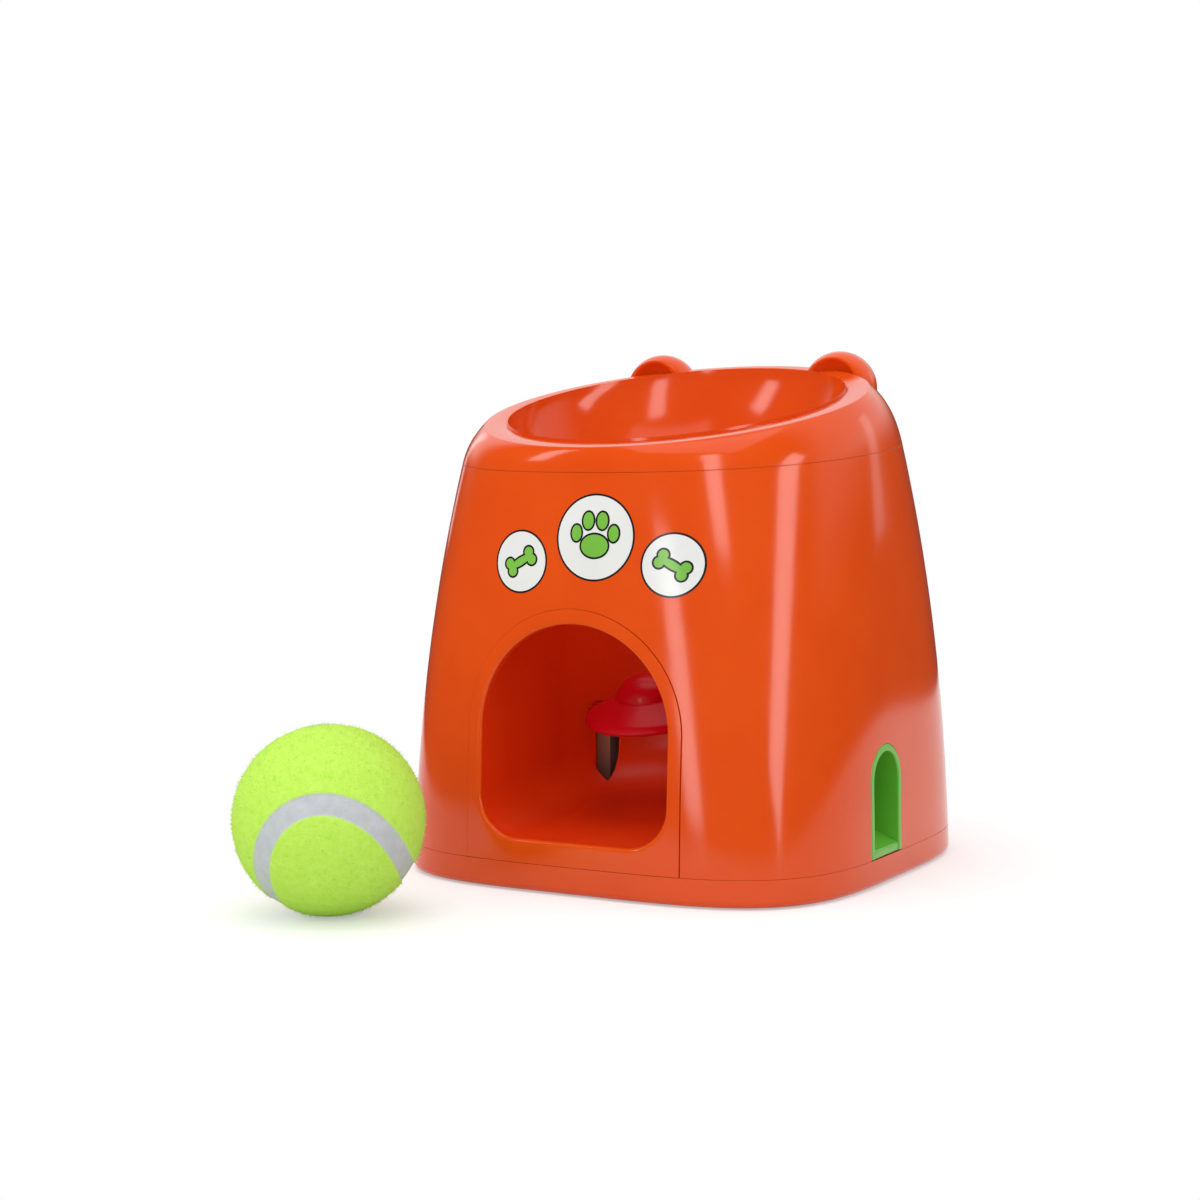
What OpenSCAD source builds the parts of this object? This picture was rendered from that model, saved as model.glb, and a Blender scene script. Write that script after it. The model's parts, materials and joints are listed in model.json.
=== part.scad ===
// Ball-operated dog treat dispenser with its ball.
// Millimetres, +Z up, front along -Y, origin on the floor under the middle of the base.

/* [Housing] */
// Half width of the housing at the floor
half_w = 89.4; // [84:0.2:96]
// How far the wall has drawn in at the draw-in height
draw_in = 12; // [8:0.5:14]
// Height at which the draw-in is measured
draw_h = 170; // [160:1:190]
// How late the wall starts to draw in
draw_power = 2.36; // [1.8:0.02:3]
// Squareness of the plan at the floor, 2 is a circle
square_low = 3.8; // [3:0.1:4.5]
// Squareness of the plan at the draw-in height
square_high = 2.16; // [2:0.02:2.6]
// Wall of the shells
wall = 2.8; // [2:0.1:3.4]
// Height of the base band
base_h = 10.5; // [8:0.5:13]
// Rounding of the base's lower edge
base_edge_r = 2.4; // [1:0.2:4]
// Floor of the base
floor_t = 3; // [2.6:0.2:4]
// Height of the seam under the bowl, over the middle of the base
seam_h = 154.6; // [152:0.2:158]
// Slope of that seam, rising to the back
seam_tilt = 4.4; // [3:0.1:5]
// Roundness of the shoulder at the sides, 2 is an ellipse
shoulder_round = 1.38; // [1.37:0.01:1.5]
// How much rounder the shoulder is behind than at the sides
shoulder_change = 0.36; // [0.2:0.01:0.37]

/* [Bowl] */
// Height of the rim plane at the rim's centre over the seam
rim_rise = 18.1; // [16:0.1:23]
// Distance of the rim's centre behind the middle of the base
rim_y = -7.4; // [-9:0.1:-6]
// Slope of the rim plane, rising to the back
rim_tilt = 12.4; // [11:0.1:13]
// Inner radius of the rim
rim_r = 63.5; // [60:0.5:65]
// Width of the flat rim
rim_w = 8.2; // [7.4:0.1:9.2]
// Solid depth under the rim, where the bowl and the shoulder part
rim_deep = 5; // [4:0.5:7]
// Roundness of the bowl, 2 is an ellipse
bowl_round = 1.5; // [1.4:0.05:1.7]
// Wall of the bowl and of the throat
bowl_t = 2.6; // [2:0.1:3]
// Depth of the bowl, from the rim plane at its centre to where the throat starts
bowl_deep = 46.7; // [43:0.1:48]
// Length of the throat
throat_len = 8; // [6:0.5:9]
// Depth of the skirt that locates the bowl in the body
skirt_h = 4; // [2:0.5:6]
// Thickness of that skirt
skirt_t = 1.8; // [1.2:0.1:2.4]
// Radius of an ear
ear_r = 14.5; // [12:0.5:16]
// Distance of an ear from the middle
ear_x = 39; // [36:0.5:42]
// Place of an ear's centre behind the middle of the base
ear_y = 56; // [54:0.5:58]
// Height of an ear's centre over the rim plane at the rim's centre
ear_rise = 5.9; // [3.5:0.1:7.5]
// Distance of an ear's flat front ahead of its centre
ear_front = 8; // [7:0.2:9]
// Radius of the hollow in the front of an ear
ear_cup_r = 12; // [10:0.5:13]
// Distance of the hollow's centre ahead of the flat front
ear_cup_ahead = 6.6; // [5:0.2:8]
// Distance of the hollow's centre over the ear's centre
ear_cup_lift = 1.4; // [0:0.2:3]

/* [Ball] */
// Diameter of the ball
ball_d = 65; // [62:0.5:67]
// Thickness of the felt cover
felt_t = 3; // [2:0.2:4]
// Wall of the rubber core
core_t = 3.4; // [2.6:0.2:5]
// Where the ball stands, to the right of the middle
ball_x = -56.8; // [-80:0.2:0]
// Where the ball stands, behind the middle
ball_y = -152; // [-180:1:-135]

/* [Mouth and ball shaft] */
// Room around the ball in the throat
throat_room = 3.5; // [2.5:0.1:4]
// Room around the ball in the shaft
shaft_room = 4.5; // [3.5:0.1:5.5]
// Step from the shaft's wall out to the jamb of the mouth
jamb_step = 0.5; // [0:0.1:1]
// Wall of the ball shaft
shaft_t = 2.5; // [2:0.1:3]
// Place of the shaft's round back, behind the middle of the base
shaft_y = -32; // [-34:0.5:-30]
// Height of the centre of the mouth's arch
arch_h = 58; // [54:0.5:60]
// Height of the mouth's sill
sill_h = 19; // [17:0.5:21]
// Radius of the mouth's lower corners
sill_r = 15; // [10:0.5:20]
// Width of the mouth panel's frame
frame_w = 5.5; // [5:0.1:7]
// Radius of the rolled lip
lip_r = 1.6; // [1.2:0.1:2]
// Straight length behind the rolled lip
lip_len = 2.4; // [2:0.1:2.8]
// Thickness of the lip and of the panel
panel_t = 2.4; // [2:0.1:2.6]
// Fall of the ramp, degrees
ramp_fall = 6.2; // [4:0.1:7]
// Thickness of the ramp
ramp_t = 2.6; // [2:0.1:3.5]
// Distance of the outer ribs under the ramp from the middle
rib_x = 22; // [14:0.5:26]
// Lower end of the lever's slot in the shaft
slot_low = 28; // [27:0.5:32]
// Room beside the paddle arm in that slot, both sides together
slot_room = 1.4; // [1:0.1:1.8]
// Place of the shaft's two front feet, behind the middle of the base
shaft_foot_y = -42; // [-44:0.5:-40]
// Thickness of the webs between the shaft and its feet
web_t = 6; // [4:0.5:7]

/* [Treat chute] */
// Width of the chute
chute_w = 26.5; // [24:0.5:28]
// Place of the chute's middle, behind the middle of the base
chute_y = -15.75; // [-18:0.25:-14]
// Height of the chute's top
chute_top = 50.8; // [47:0.2:52]
// Wall of the chute
chute_t = 2.6; // [2.2:0.1:3]
// How far the chute's end lies inside the wall at the floor
chute_inset = 0.2; // [0:0.1:0.4]
// Height of the chute's floor at its end
exit_lip = 2.9; // [2:0.1:4]
// Fall of the chute's floor, degrees
chute_fall = 25; // [20:1:26]
// Length of the covered part of the chute
tunnel_len = 22.7; // [20:0.1:24]
// Length of the open trough inside
trough_len = 21.5; // [20:0.1:22]
// Height of the trough's back wall
trough_back_h = 36; // [34:0.5:40]

/* [Treat hopper] */
// Width of the bin
bin_w = 31; // [26:0.5:32]
// Length of the bin
bin_len = 74; // [60:1:75]
// Distance of the bin's top below the end of the throat
bin_drop = 1; // [0.5:0.1:6]
// Height of the straight part of the bin
bin_straight = 22; // [18:1:30]
// Wall of the hopper
bin_t = 2; // [1.6:0.1:2.6]
// Size of the spout's mouth
spout_w = 16; // [14:0.5:16.5]
// Length of the straight spout
spout_len = 7.5; // [5:0.5:9]
// Shift of the spout from the trough's middle towards the shaft
spout_shift = 0.5; // [0.3:0.1:0.8]
// Shift of the spout from the chute's middle towards the axle
spout_back = 1.5; // [1:0.1:2]
// Height of the spout's mouth over the axle
spout_over = 1.5; // [1.2:0.1:2]
// Height of the shaft's bosses that the tab is screwed to
tab_boss = 1.5; // [1.3:0.1:2]
// Length of the tab's screws in those bosses
tab_screw_bite = 2.8; // [2:0.1:3.2]
// Length of the tab that is screwed to the shaft
tab_len = 32; // [26:1:34]
// Height of that tab
tab_h = 18; // [14:1:20]

/* [Lever] */
// Radius of the axle
axle_r = 3; // [2.5:0.1:3.4]
// Place of the axle, behind the middle of the base
axle_y = 12; // [11:0.2:13]
// Height of the axle
axle_h = 55; // [54:0.2:56]
// Radius of the hubs
hub_r = 7; // [6:0.1:7.5]
// How much longer than the arm is thick the hubs are
hub_extra = 2; // [1:0.2:3]
// Thickness of the paddle arm
arm_t = 5; // [4:0.2:6]
// Distance of the paddle arm from the middle
arm_x = -29; // [-30:0.2:-28]
// Height of the paddle arm where it passes the shaft
arm_deep = 8; // [6:0.2:9]
// How far the arm reaches into the shaft before it turns to the paddle
knee_in = 8; // [7:0.2:9]
// Thickness of the arm's cross bar and of the pad under the paddle
bar_t = 5; // [4.4:0.2:5.6]
// Height of the cross bar's underside over the arm's underside
bar_lift = 1.5; // [1:0.1:2]
// Width of the pad under the paddle
pad_w = 10; // [9:0.2:11]
// Distance of the pad's front behind the paddle's centre
pad_back = 2; // [1.6:0.2:2.4]
// Radius of the paddle's brim
brim_r = 23.6; // [22:0.2:24.4]
// Thickness of the brim
brim_t = 2.2; // [1.6:0.1:2.6]
// Rounding of the brim's edge
brim_edge = 0.6; // [0.3:0.1:0.8]
// Distance of the paddle's two screws from its middle
paddle_screw_x = 6; // [5.4:0.2:6.6]
// Length of the paddle's screws in the paddle
paddle_screw_bite = 6; // [5:0.2:7]
// Radius of the paddle's crown
crown_r = 11.2; // [10:0.2:12]
// Height of the paddle's crown over the brim's edge
crown_h = 14; // [13:0.5:16]
// Height to which the brim rises where the crown starts
cone_h = 6; // [4:0.2:7]
// Width of the ledge at the foot of the crown
crown_ledge = 1; // [0.6:0.1:1.4]
// Place of the paddle's centre, to the right of the middle
paddle_x = 3.5; // [2:0.5:5]
// Place of the paddle's centre, behind the middle
paddle_y = -36.5; // [-38:0.5:-35]
// Height of the paddle's brim at its centre over the axle
paddle_over = 5; // [4.4:0.2:5.6]
// Slope of the paddle at rest, falling to the front
paddle_tilt = 12; // [10:1:15]
// Thickness of the flap under the spout
flap_t = 2.2; // [1.6:0.1:2.6]
// Room beside the flap in the trough
flap_room = 1; // [0.6:0.1:1.4]
// Thickness of the two axle brackets
bracket_t = 6; // [5:0.2:7]
// Distance of the left bracket from the middle
bracket_left_x = -39; // [-41:0.5:-38]
// Gap between the right bracket and the flap
bracket_gap = 3.3; // [2.8:0.1:3.8]
// Wall of the brackets around the bushes
bracket_wall = 3; // [2.4:0.1:3.4]
// Distance between a bracket's two screws
bracket_foot = 20; // [18:0.5:21]
// Width of the brackets' feet beside the screws
foot_side = 3; // [2.6:0.1:3.4]
// Wall of the axle's bushes
bush_t = 1.5; // [1:0.1:2]
// Thickness of the axle's clips
clip_t = 0.8; // [0.6:0.1:1]
// Depth of the grooves for the clips
groove = 0.5; // [0.3:0.1:0.7]
// How far the clips stand out around the axle
clip_w = 2; // [1.4:0.1:2.4]
// Length of the axle's ends past the clips
axle_end = 2; // [1:0.2:2.2]
// Distance of the spring lever from the middle
spring_x = 26; // [24:0.5:28]
// Reach of the spring lever behind the axle
spring_reach = 18; // [15:0.5:22]
// Outer diameter of the return spring
spring_d = 9; // [7:0.5:10]
// Wire of the return spring
wire_d = 1; // [0.8:0.1:1.2]
// Turns of the return spring
spring_turns = 10; // [8:1:12]
// Height of the spring post's top
post_h = 12.5; // [12:0.5:15]
// How far the spring post stands out around the spring
post_rim = 2; // [1:0.2:2.6]
// Thickness of the spring lever
spring_tab_t = 3; // [2.4:0.2:4]
// How far the spring lever's round end stands out around the spring
tab_rim = 1; // [0.6:0.2:1.6]

/* [Fasteners and feet] */
// Radius of the screws
screw_r = 1.5; // [1.2:0.1:1.6]
// Radius of the screw heads
head_r = 3.1; // [2.6:0.1:3.4]
// Height of the screw heads
head_h = 1.5; // [1.2:0.1:1.7]
// Width of the slots in the screw heads
recess_w = 0.8; // [0.6:0.1:1]
// Length of the slots in the screw heads
recess_len = 3.8; // [3:0.1:4.4]
// Length of the screws that hold the body
base_screw_len = 14; // [10:0.5:18]
// Length of the screws that hold the inner pieces
frame_screw_len = 8; // [6:0.5:9]
// Radius of the bosses that the screws bite in
boss_r = 5.5; // [5:0.1:6]
// How deep a corner boss sinks into the wall
boss_bite = 0.8; // [0.6:0.1:0.9]
// Solid end of the shaft's feet over their screws
boss_cap = 2; // [1.6:0.1:3]
// Height of the top of the body's corner bosses
boss_top = 30; // [24:1:34]
// Radius of a foot pad
foot_r = 9; // [7:0.5:10]
// Distance of the foot pads inside the corner screws, along X and Y
foot_in = 10.9; // [10.4:0.1:17]
// How far the foot pads stand out below the base
foot_proud = 0.6; // [0.4:0.1:1.2]
// Depth of the foot pads' seats
foot_seat = 1.6; // [1:0.1:1.8]

/* [Clearances] */
// Gap between shells along a seam
seam_gap = 0.2; // [0.1:0.05:0.3]
// Gap around a piece that drops into another
fit = 0.3; // [0.2:0.05:0.4]
// Radial gap of the axle in its bushes
running = 0.05; // [0.02:0.01:0.08]
// Radial gap of a screw, hub or bush in its hole
snug = 0.03; // [0.02:0.01:0.05]
// Gap between the flap and the spout
flap_gap = 0.5; // [0.3:0.1:0.8]

/* [Hidden] */
$fn = 64;

orange = [0.88, 0.27, 0.06];
green = [0.38, 0.68, 0.20];
red = [0.70, 0.03, 0.08];
grey = [0.55, 0.56, 0.58];
steel = [0.75, 0.76, 0.78];
rubber = [0.12, 0.12, 0.13];
felt = [0.72, 0.93, 0.30];

// Facets of the lofted shells
columns = 72;
wall_rows = 7;
round_rows = 7;
over = 1;

base_bottom = foot_proud;
floor_top = base_bottom + floor_t;
base_top = base_h - seam_gap;
rim_h = seam_h + rim_rise;
throat_h = rim_h - bowl_deep;
ear_h = rim_h + ear_rise;
throat_r = ball_d / 2 + throat_room;
shaft_r = ball_d / 2 + shaft_room;
shaft_out = shaft_r + shaft_t;
throat_end = throat_h - throat_len;
shaft_top = throat_end - seam_gap - fit;
jamb_x = shaft_r + jamb_step;
panel_x = jamb_x + frame_w;
panel_low = base_h + seam_gap;

// Plan and slopes of the housing
function half_at(z) = half_w - draw_in * pow(max(z, 0) / draw_h, draw_power);
function square_at(z) = square_low + (square_high - square_low) * z / draw_h;
function wall_r(a, z) =
    let (n = square_at(z))
    half_at(z) / pow(pow(abs(cos(a)), n) + pow(abs(sin(a)), n), 1 / n);
function wall_pt(a, z, inset) =
    let (r = wall_r(a, z) - inset)
    [r * cos(a), r * sin(a), z];
function front_y(x, z) =
    let (n = square_at(z), h = half_at(z))
    -h * pow(1 - pow(abs(x) / h, n), 1 / n);
function seam_z(y) = seam_h + y * tan(seam_tilt);
function rim_z(y) = rim_h + (y - rim_y) * tan(rim_tilt);
function seam_pt(a, inset, lift) =
    let (p = wall_pt(a, seam_z(wall_r(a, seam_h) * sin(a)), inset))
    [p.x, p.y, seam_z(p.y) + lift];
function mix(p, q, t) = p + (q - p) * t;

// Skin over columns of points that go round the axis, each column a closed loop
module ring_skin(cols) {
    m = len(cols);
    k = len(cols[0]);
    polyhedron(
        points = [for (c = cols) each c],
        faces = [
            for (i = [0 : m - 1], j = [0 : k - 1])
                let (a = i * k, b = ((i + 1) % m) * k, n = (j + 1) % k)
                each [[a + j, a + n, b + n], [a + j, b + n, b + j]]
        ]
    );
}

// Skin over rings that are stacked from the bottom cap to the top cap
module stack_skin(rings) {
    m = len(rings[0]);
    last = len(rings) - 1;
    polyhedron(
        points = [for (r = rings) each r],
        faces = concat(
            [[for (i = [0 : m - 1]) i]],
            [
                for (j = [0 : last - 1], i = [0 : m - 1])
                    let (a = j * m, b = (j + 1) * m, n = (i + 1) % m)
                    each [[a + i, b + i, b + n], [a + i, b + n, a + n]]
            ],
            [[for (i = [m - 1 : -1 : 0]) last * m + i]]
        )
    );
}

angles = [for (i = [0 : columns - 1]) i * 360 / columns];
corner_at = (wall_r(45, boss_top) - wall - boss_r + boss_bite) / sqrt(2);
corners = [for (sx = [-1, 1], sy = [-1, 1]) [sx, sy] * corner_at];
foot_at = corner_at - foot_in;
feet = [for (sx = [-1, 1], sy = [-1, 1]) [sx, sy] * foot_at];

// Places of the chute, of the flap over its trough and of the bracket beside the flap
chute_face = half_w - chute_inset;
tunnel_x = chute_face - tunnel_len;
trough_x = tunnel_x - trough_len;
chute_foot = [trough_x + trough_len / 2, chute_y];
flap_x0 = trough_x + chute_t / 2 + flap_room;
flap_x1 = tunnel_x - flap_room;
bracket_right_x = flap_x0 - bracket_gap - bracket_t / 2;

// Places where screws from below hold the inner pieces
shaft_feet = [
    [-shaft_out - boss_r, shaft_foot_y],
    [shaft_out + boss_r, shaft_foot_y],
    [0, shaft_y + shaft_out + boss_r]
];
bracket_feet = [
    for (x = [bracket_left_x, bracket_right_x], s = [-1, 1])
        [x, axle_y + s * bracket_foot / 2]
];
spring_at = [spring_x, axle_y + spring_reach];
frame_feet = concat(shaft_feet, bracket_feet, [spring_at, chute_foot]);

// Pilot hole for a screw that comes up through the base
module pilot(p, len) {
    translate([p.x, p.y, floor_top - over])
        cylinder(r = screw_r + snug, h = len - floor_t + head_h + over + fit);
}

// Screw standing on its head, with a crossed recess
module screw(len) {
    difference() {
        union() {
            cylinder(r = head_r, h = head_h);
            translate([0, 0, head_h / 2]) cylinder(r = screw_r, h = len + head_h / 2);
        }
        for (a = [0, 90]) rotate(a)
            translate([-recess_len / 2, -recess_w / 2, -over])
                cube([recess_len, recess_w, over + head_h / 2]);
    }
}

module base_plate() color(orange) {
    bend = base_edge_r * (1 - cos(45));
    lip = wall + fit;
    lip_top = base_h + skirt_h;
    rings = [
        [base_edge_r, base_bottom], [bend, base_bottom + bend], [0, base_bottom + base_edge_r],
        [0, base_top], [wall, base_top], [wall, floor_top],
        [lip, floor_top], [lip, lip_top], [lip + skirt_t, lip_top], [lip + skirt_t, floor_top]
    ];
    difference() {
        stack_skin([for (r = rings) [for (a = angles) wall_pt(a, r[1], r[0])]]);
        for (p = concat(corners, frame_feet)) {
            translate([p.x, p.y, -over]) cylinder(r = screw_r + fit, h = floor_top + 2 * over);
            translate([p.x, p.y, -over])
                cylinder(r = head_r + fit, h = base_bottom + head_h + over);
        }
        for (p = feet) translate([p.x, p.y, -over])
            cylinder(r = foot_r + fit, h = base_bottom + foot_seat + over);
        for (p = corners) translate([p.x, p.y, floor_top - fit]) cylinder(r = boss_r + fit, h = boss_top);
        lip_notch();
    }
}

// Gap in the base's upright lip where the chute passes over it
module lip_notch() {
    low = floor_top + fit;
    intersection() {
        translate([tunnel_x, chute_y - chute_w / 2 - fit, low]) cube([half_w, chute_w + 2 * fit, boss_top]);
        stack_skin([for (z = [low - over, boss_top]) [for (a = angles) wall_pt(a, z, wall + fit / 2)]]);
    }
}

module foot_pads() color(rubber)
    for (p = feet) translate([p.x, p.y, 0]) cylinder(r = foot_r, h = base_bottom + foot_seat);

module base_screws() color(steel)
    for (p = corners) translate([p.x, p.y, base_bottom]) screw(base_screw_len);

module frame_screws() color(steel)
    for (p = frame_feet) translate([p.x, p.y, base_bottom]) screw(frame_screw_len);

function body_column(a) =
    let (top = seam_pt(a, 0, 0).z, rows = [for (i = [0 : wall_rows - 1]) mix(base_h, top, i / wall_rows)])
    concat(
        [for (z = rows) wall_pt(a, z, 0)],
        [seam_pt(a, 0, 0), seam_pt(a, wall, 0)],
        [for (i = [wall_rows - 1 : -1 : 0]) wall_pt(a, rows[i], wall)]
    );

// Outline of the mouth panel grown by a gap, standing in the XZ plane
module panel_outline(gap) {
    translate([0, arch_h]) circle(panel_x + gap);
    translate([-panel_x - gap, 0]) square([2 * (panel_x + gap), arch_h]);
}

// Outline of the chute grown by a gap, with Y across and Z up
module chute_outline(gap, low) {
    r = chute_w / 2 + gap;
    translate([chute_y, chute_top - chute_w / 2]) circle(r);
    translate([chute_y - r, low]) square([2 * r, chute_top - chute_w / 2 - low]);
}

// Turns a drawing of Y across and Z up into a solid along X
module along_x(x0, x1) {
    translate([x0, 0, 0]) rotate([90, 0, 90]) linear_extrude(x1 - x0) children();
}

module main_body() color(orange) {
    difference() {
        union() {
            ring_skin([for (a = angles) body_column(a)]);
            for (p = corners) translate([p.x, p.y, floor_top])
                cylinder(r = boss_r, h = boss_top - floor_top);
        }
        translate([0, -half_w / 2, 0]) rotate([90, 0, 0]) linear_extrude(half_w) panel_outline(seam_gap);
        along_x(tunnel_x, half_w + over) chute_outline(seam_gap, 0);
        for (p = corners) pilot(p, base_screw_len);
    }
}

// How far the mouth and its frame reach from the arch's centre at a given angle
function frame_reach(f) = sin(f) >= 0 ? panel_x
    : min(panel_x / max(abs(cos(f)), 0.001), (arch_h - panel_low) / -sin(f));
function mouth_reach(f) = sin(f) >= 0 ? jamb_x
    : let (
        c = abs(cos(f)), s = -sin(f),
        kx = jamb_x - sill_r, kz = arch_h - sill_h - sill_r,
        side = jamb_x / max(c, 0.001), low = (arch_h - sill_h) / s,
        b = c * kx + s * kz
    )
    side * s <= kz ? side : low * c <= kx ? low : b + sqrt(sill_r * sill_r - kx * kx - kz * kz + b * b);
function panel_pt(f, r, deep) =
    let (x = r * cos(f), z = arch_h + r * sin(f))
    [x, front_y(x, z) + deep, z];
function panel_column(f) =
    let (out = frame_reach(f), in = mouth_reach(f), end = lip_r + lip_len)
    concat(
        [panel_pt(f, out, 0)],
        [for (b = [0 : 22.5 : 90]) panel_pt(f, in + lip_r * (1 - sin(b)), lip_r * (1 - cos(b)))],
        [
            panel_pt(f, in, end), panel_pt(f, in + panel_t, end),
            panel_pt(f, in + panel_t, panel_t), panel_pt(f, out, panel_t)
        ]
    );

module mouth_panel() color(orange) {
    corner = atan((arch_h - panel_low) / panel_x);
    turns = concat(
        [for (i = [0 : 23]) i * 180 / 24],
        [for (i = [0 : 9]) 180 + corner * i / 10],
        [for (i = [0 : 13]) mix(180 + corner, 360 - corner, i / 14)],
        [for (i = [0 : 9]) mix(360 - corner, 360, i / 10)]
    );
    ring_skin([for (i = [len(turns) - 1 : -1 : 0]) panel_column(turns[i])]);
}

// Shoulder from the seam to the rim, and bowl from the rim to the throat
rim_out = rim_r + rim_w;
function rim_pt(a, r) =
    let (y = rim_y + r * cos(rim_tilt) * sin(a))
    [r * cos(a), y, rim_z(y)];
function shoulder_power(a) = shoulder_round + shoulder_change * sin(a);
function shoulder_pt(a, b, inset) =
    let (
        p = shoulder_power(a), low = seam_pt(a, inset, seam_gap), high = rim_pt(a, rim_out - inset),
        s = pow(sin(b), 2 / p), flat = mix(high, low, pow(cos(b), 2 / p))
    )
    [flat.x, flat.y, mix(low.z, high.z, s)];
function throat_pt(a, r, z) = [r * cos(a), shaft_y + r * sin(a), z];
function bowl_pt(a, b, out) =
    let (
        high = rim_pt(a, rim_r + out), low = throat_pt(a, throat_r + out, throat_h),
        flat = mix(low, high, pow(cos(b), 2 / bowl_round))
    )
    [flat.x, flat.y, mix(high.z, low.z, pow(sin(b), 2 / bowl_round)) - out / 2];
// Where the hollow between the shoulder and the bowl ends, under the rim
function under_angle(a) =
    let (
        p = shoulder_power(a), tall = rim_pt(a, rim_out).z - seam_pt(a, 0, 0).z,
        s = 1 - rim_deep / tall
    )
    asin(pow(s, p / 2));
function funnel_column(a) =
    let (top = under_angle(a), wall_in = wall + fit + skirt_t, lip = wall + fit)
    concat(
        [for (i = [0 : round_rows]) shoulder_pt(a, 90 * i / round_rows, 0)],
        [for (i = [0 : round_rows]) bowl_pt(a, 90 * i / round_rows, 0)],
        [throat_pt(a, throat_r, throat_end), throat_pt(a, throat_r + bowl_t, throat_end)],
        [for (i = [round_rows : -1 : 2]) bowl_pt(a, 90 * i / round_rows, bowl_t)],
        [for (i = [2 : -1 : 0]) shoulder_pt(a, top * i / 2, wall_in)],
        [
            seam_pt(a, wall_in, -skirt_h), seam_pt(a, lip, -skirt_h), seam_pt(a, lip, seam_gap)
        ]
    );

// Cupped round ear that grows out of the shoulder behind the rim
module ear(side) {
    front = ear_y - ear_front;
    translate([side * ear_x, 0, 0]) difference() {
        intersection() {
            translate([0, ear_y, ear_h]) sphere(ear_r);
            translate([-ear_r, front, ear_h - ear_r]) cube(2 * ear_r);
        }
        translate([0, front - ear_cup_ahead, ear_h + ear_cup_lift]) sphere(ear_cup_r);
    }
}

module funnel_top() color(orange) {
    ring_skin([for (a = angles) funnel_column(a)]);
    for (side = [-1, 1]) ear(side);
}

// Plan of a channel with a round back
module channel_plan(r, front) {
    translate([0, shaft_y]) circle(r);
    translate([-r, front]) square([2 * r, shaft_y - front]);
}

shaft_front = front_y(shaft_out, arch_h) + lip_r + lip_len + fit;
shaft_front_top = front_y(shaft_out, shaft_top) + wall + 2 * fit;
slot_w = arm_t + slot_room;
slot_top = axle_h + arm_deep / 2 + fit;
tab_x = shaft_out + tab_boss;
bin_top = throat_end - bin_drop;
tab_z = bin_top - tab_h;
bin_front = chute_y - spout_w / 2 - 2 * bin_t;
tab_screws = [for (share = [0.3, 0.75]) [bin_front - tab_len * share, tab_z + tab_h / 2]];

module ball_shaft() color(orange) {
    side = [
        [shaft_front, floor_top], [shaft_front, arch_h], [shaft_front_top, shaft_top],
        [shaft_y + 2 * shaft_out, shaft_top], [shaft_y + 2 * shaft_out, floor_top]
    ];
    difference() {
        union() {
            intersection() {
                linear_extrude(shaft_top) difference() {
                    channel_plan(shaft_out, shaft_front - over);
                    channel_plan(shaft_r, shaft_front - 2 * over);
                }
                along_x(-2 * shaft_out, 2 * shaft_out) polygon(side);
            }
            for (p = shaft_feet) shaft_foot(p);
            for (s = tab_screws) translate([shaft_out - shaft_t / 4, s[0], s[1]])
                rotate([0, 90, 0]) cylinder(r = boss_r - over, h = tab_boss + shaft_t / 4);
        }
        translate([arm_x - slot_w / 2, shaft_y, slot_low])
            cube([slot_w, 2 * shaft_out, slot_top - slot_low]);
        for (p = shaft_feet) pilot(p, frame_screw_len);
        for (s = tab_screws) translate([tab_x + over, s[0], s[1]])
            rotate([0, -90, 0]) cylinder(r = screw_r + snug, h = tab_screw_bite + over + fit);
    }
}

// Round foot of the shaft and the web that joins it to the wall
module shaft_foot(p) {
    tall = frame_screw_len + boss_cap;
    translate([p.x, p.y, floor_top]) {
        cylinder(r = boss_r, h = tall);
        rotate(p.x == 0 ? -90 : p.x > 0 ? 180 : 0)
            translate([0, -web_t / 2, 0]) cube([boss_r + over, web_t, tall]);
    }
}

// Sloping floor of the shaft on three ribs
module ball_ramp() color(orange) {
    front = front_y(jamb_x, sill_h) + lip_r + lip_len + 3 * fit;
    back = shaft_y + shaft_r;
    high = sill_h + fit + (back - front) * tan(ramp_fall);
    slope = [
        [front, sill_h + fit], [back, high], [back, high - ramp_t], [front, sill_h + fit - ramp_t]
    ];
    rib = [
        [front, floor_top], [front, sill_h + fit - ramp_t / 2], [back, high - ramp_t / 2], [back, floor_top]
    ];
    intersection() {
        linear_extrude(arch_h) channel_plan(shaft_r - fit, front);
        union() {
            along_x(-shaft_r, shaft_r) polygon(slope);
            for (x = [-rib_x, 0, rib_x])
                along_x(x - ramp_t / 2, x + ramp_t / 2) polygon(rib);
        }
    }
}

// Chute: arched tunnel to the outside, open trough under the flap, floor falling to the right
chute_low = base_h + seam_gap;
chute_in = chute_w / 2 - chute_t;
module treat_chute() color(green) {
    exit_z = chute_low + exit_lip;
    rise = (chute_face - trough_x) * tan(chute_fall);
    floor_line = [
        [trough_x, chute_low], [chute_face, chute_low], [chute_face, exit_z], [trough_x, exit_z + rise]
    ];
    difference() {
        union() {
            difference() {
                along_x(trough_x, chute_face) chute_outline(0, chute_low);
                along_x(trough_x + chute_t / 2, chute_face + over)
                    chute_outline(-chute_t, chute_low - over);
                translate([trough_x - over, chute_y - chute_in, trough_back_h])
                    cube([trough_len + over, chute_w, chute_top]);
                translate([trough_x - over, chute_y, chute_top - chute_w / 2])
                    cube([trough_len + over, chute_w, chute_top]);
            }
            translate([0, chute_y + chute_w / 2, 0]) rotate([90, 0, 0]) linear_extrude(chute_w)
                polygon(floor_line);
            translate([chute_foot.x, chute_foot.y, floor_top])
                cylinder(r = boss_r, h = chute_low - floor_top + over);
        }
        pilot(chute_foot, frame_screw_len);
    }
}

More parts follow.
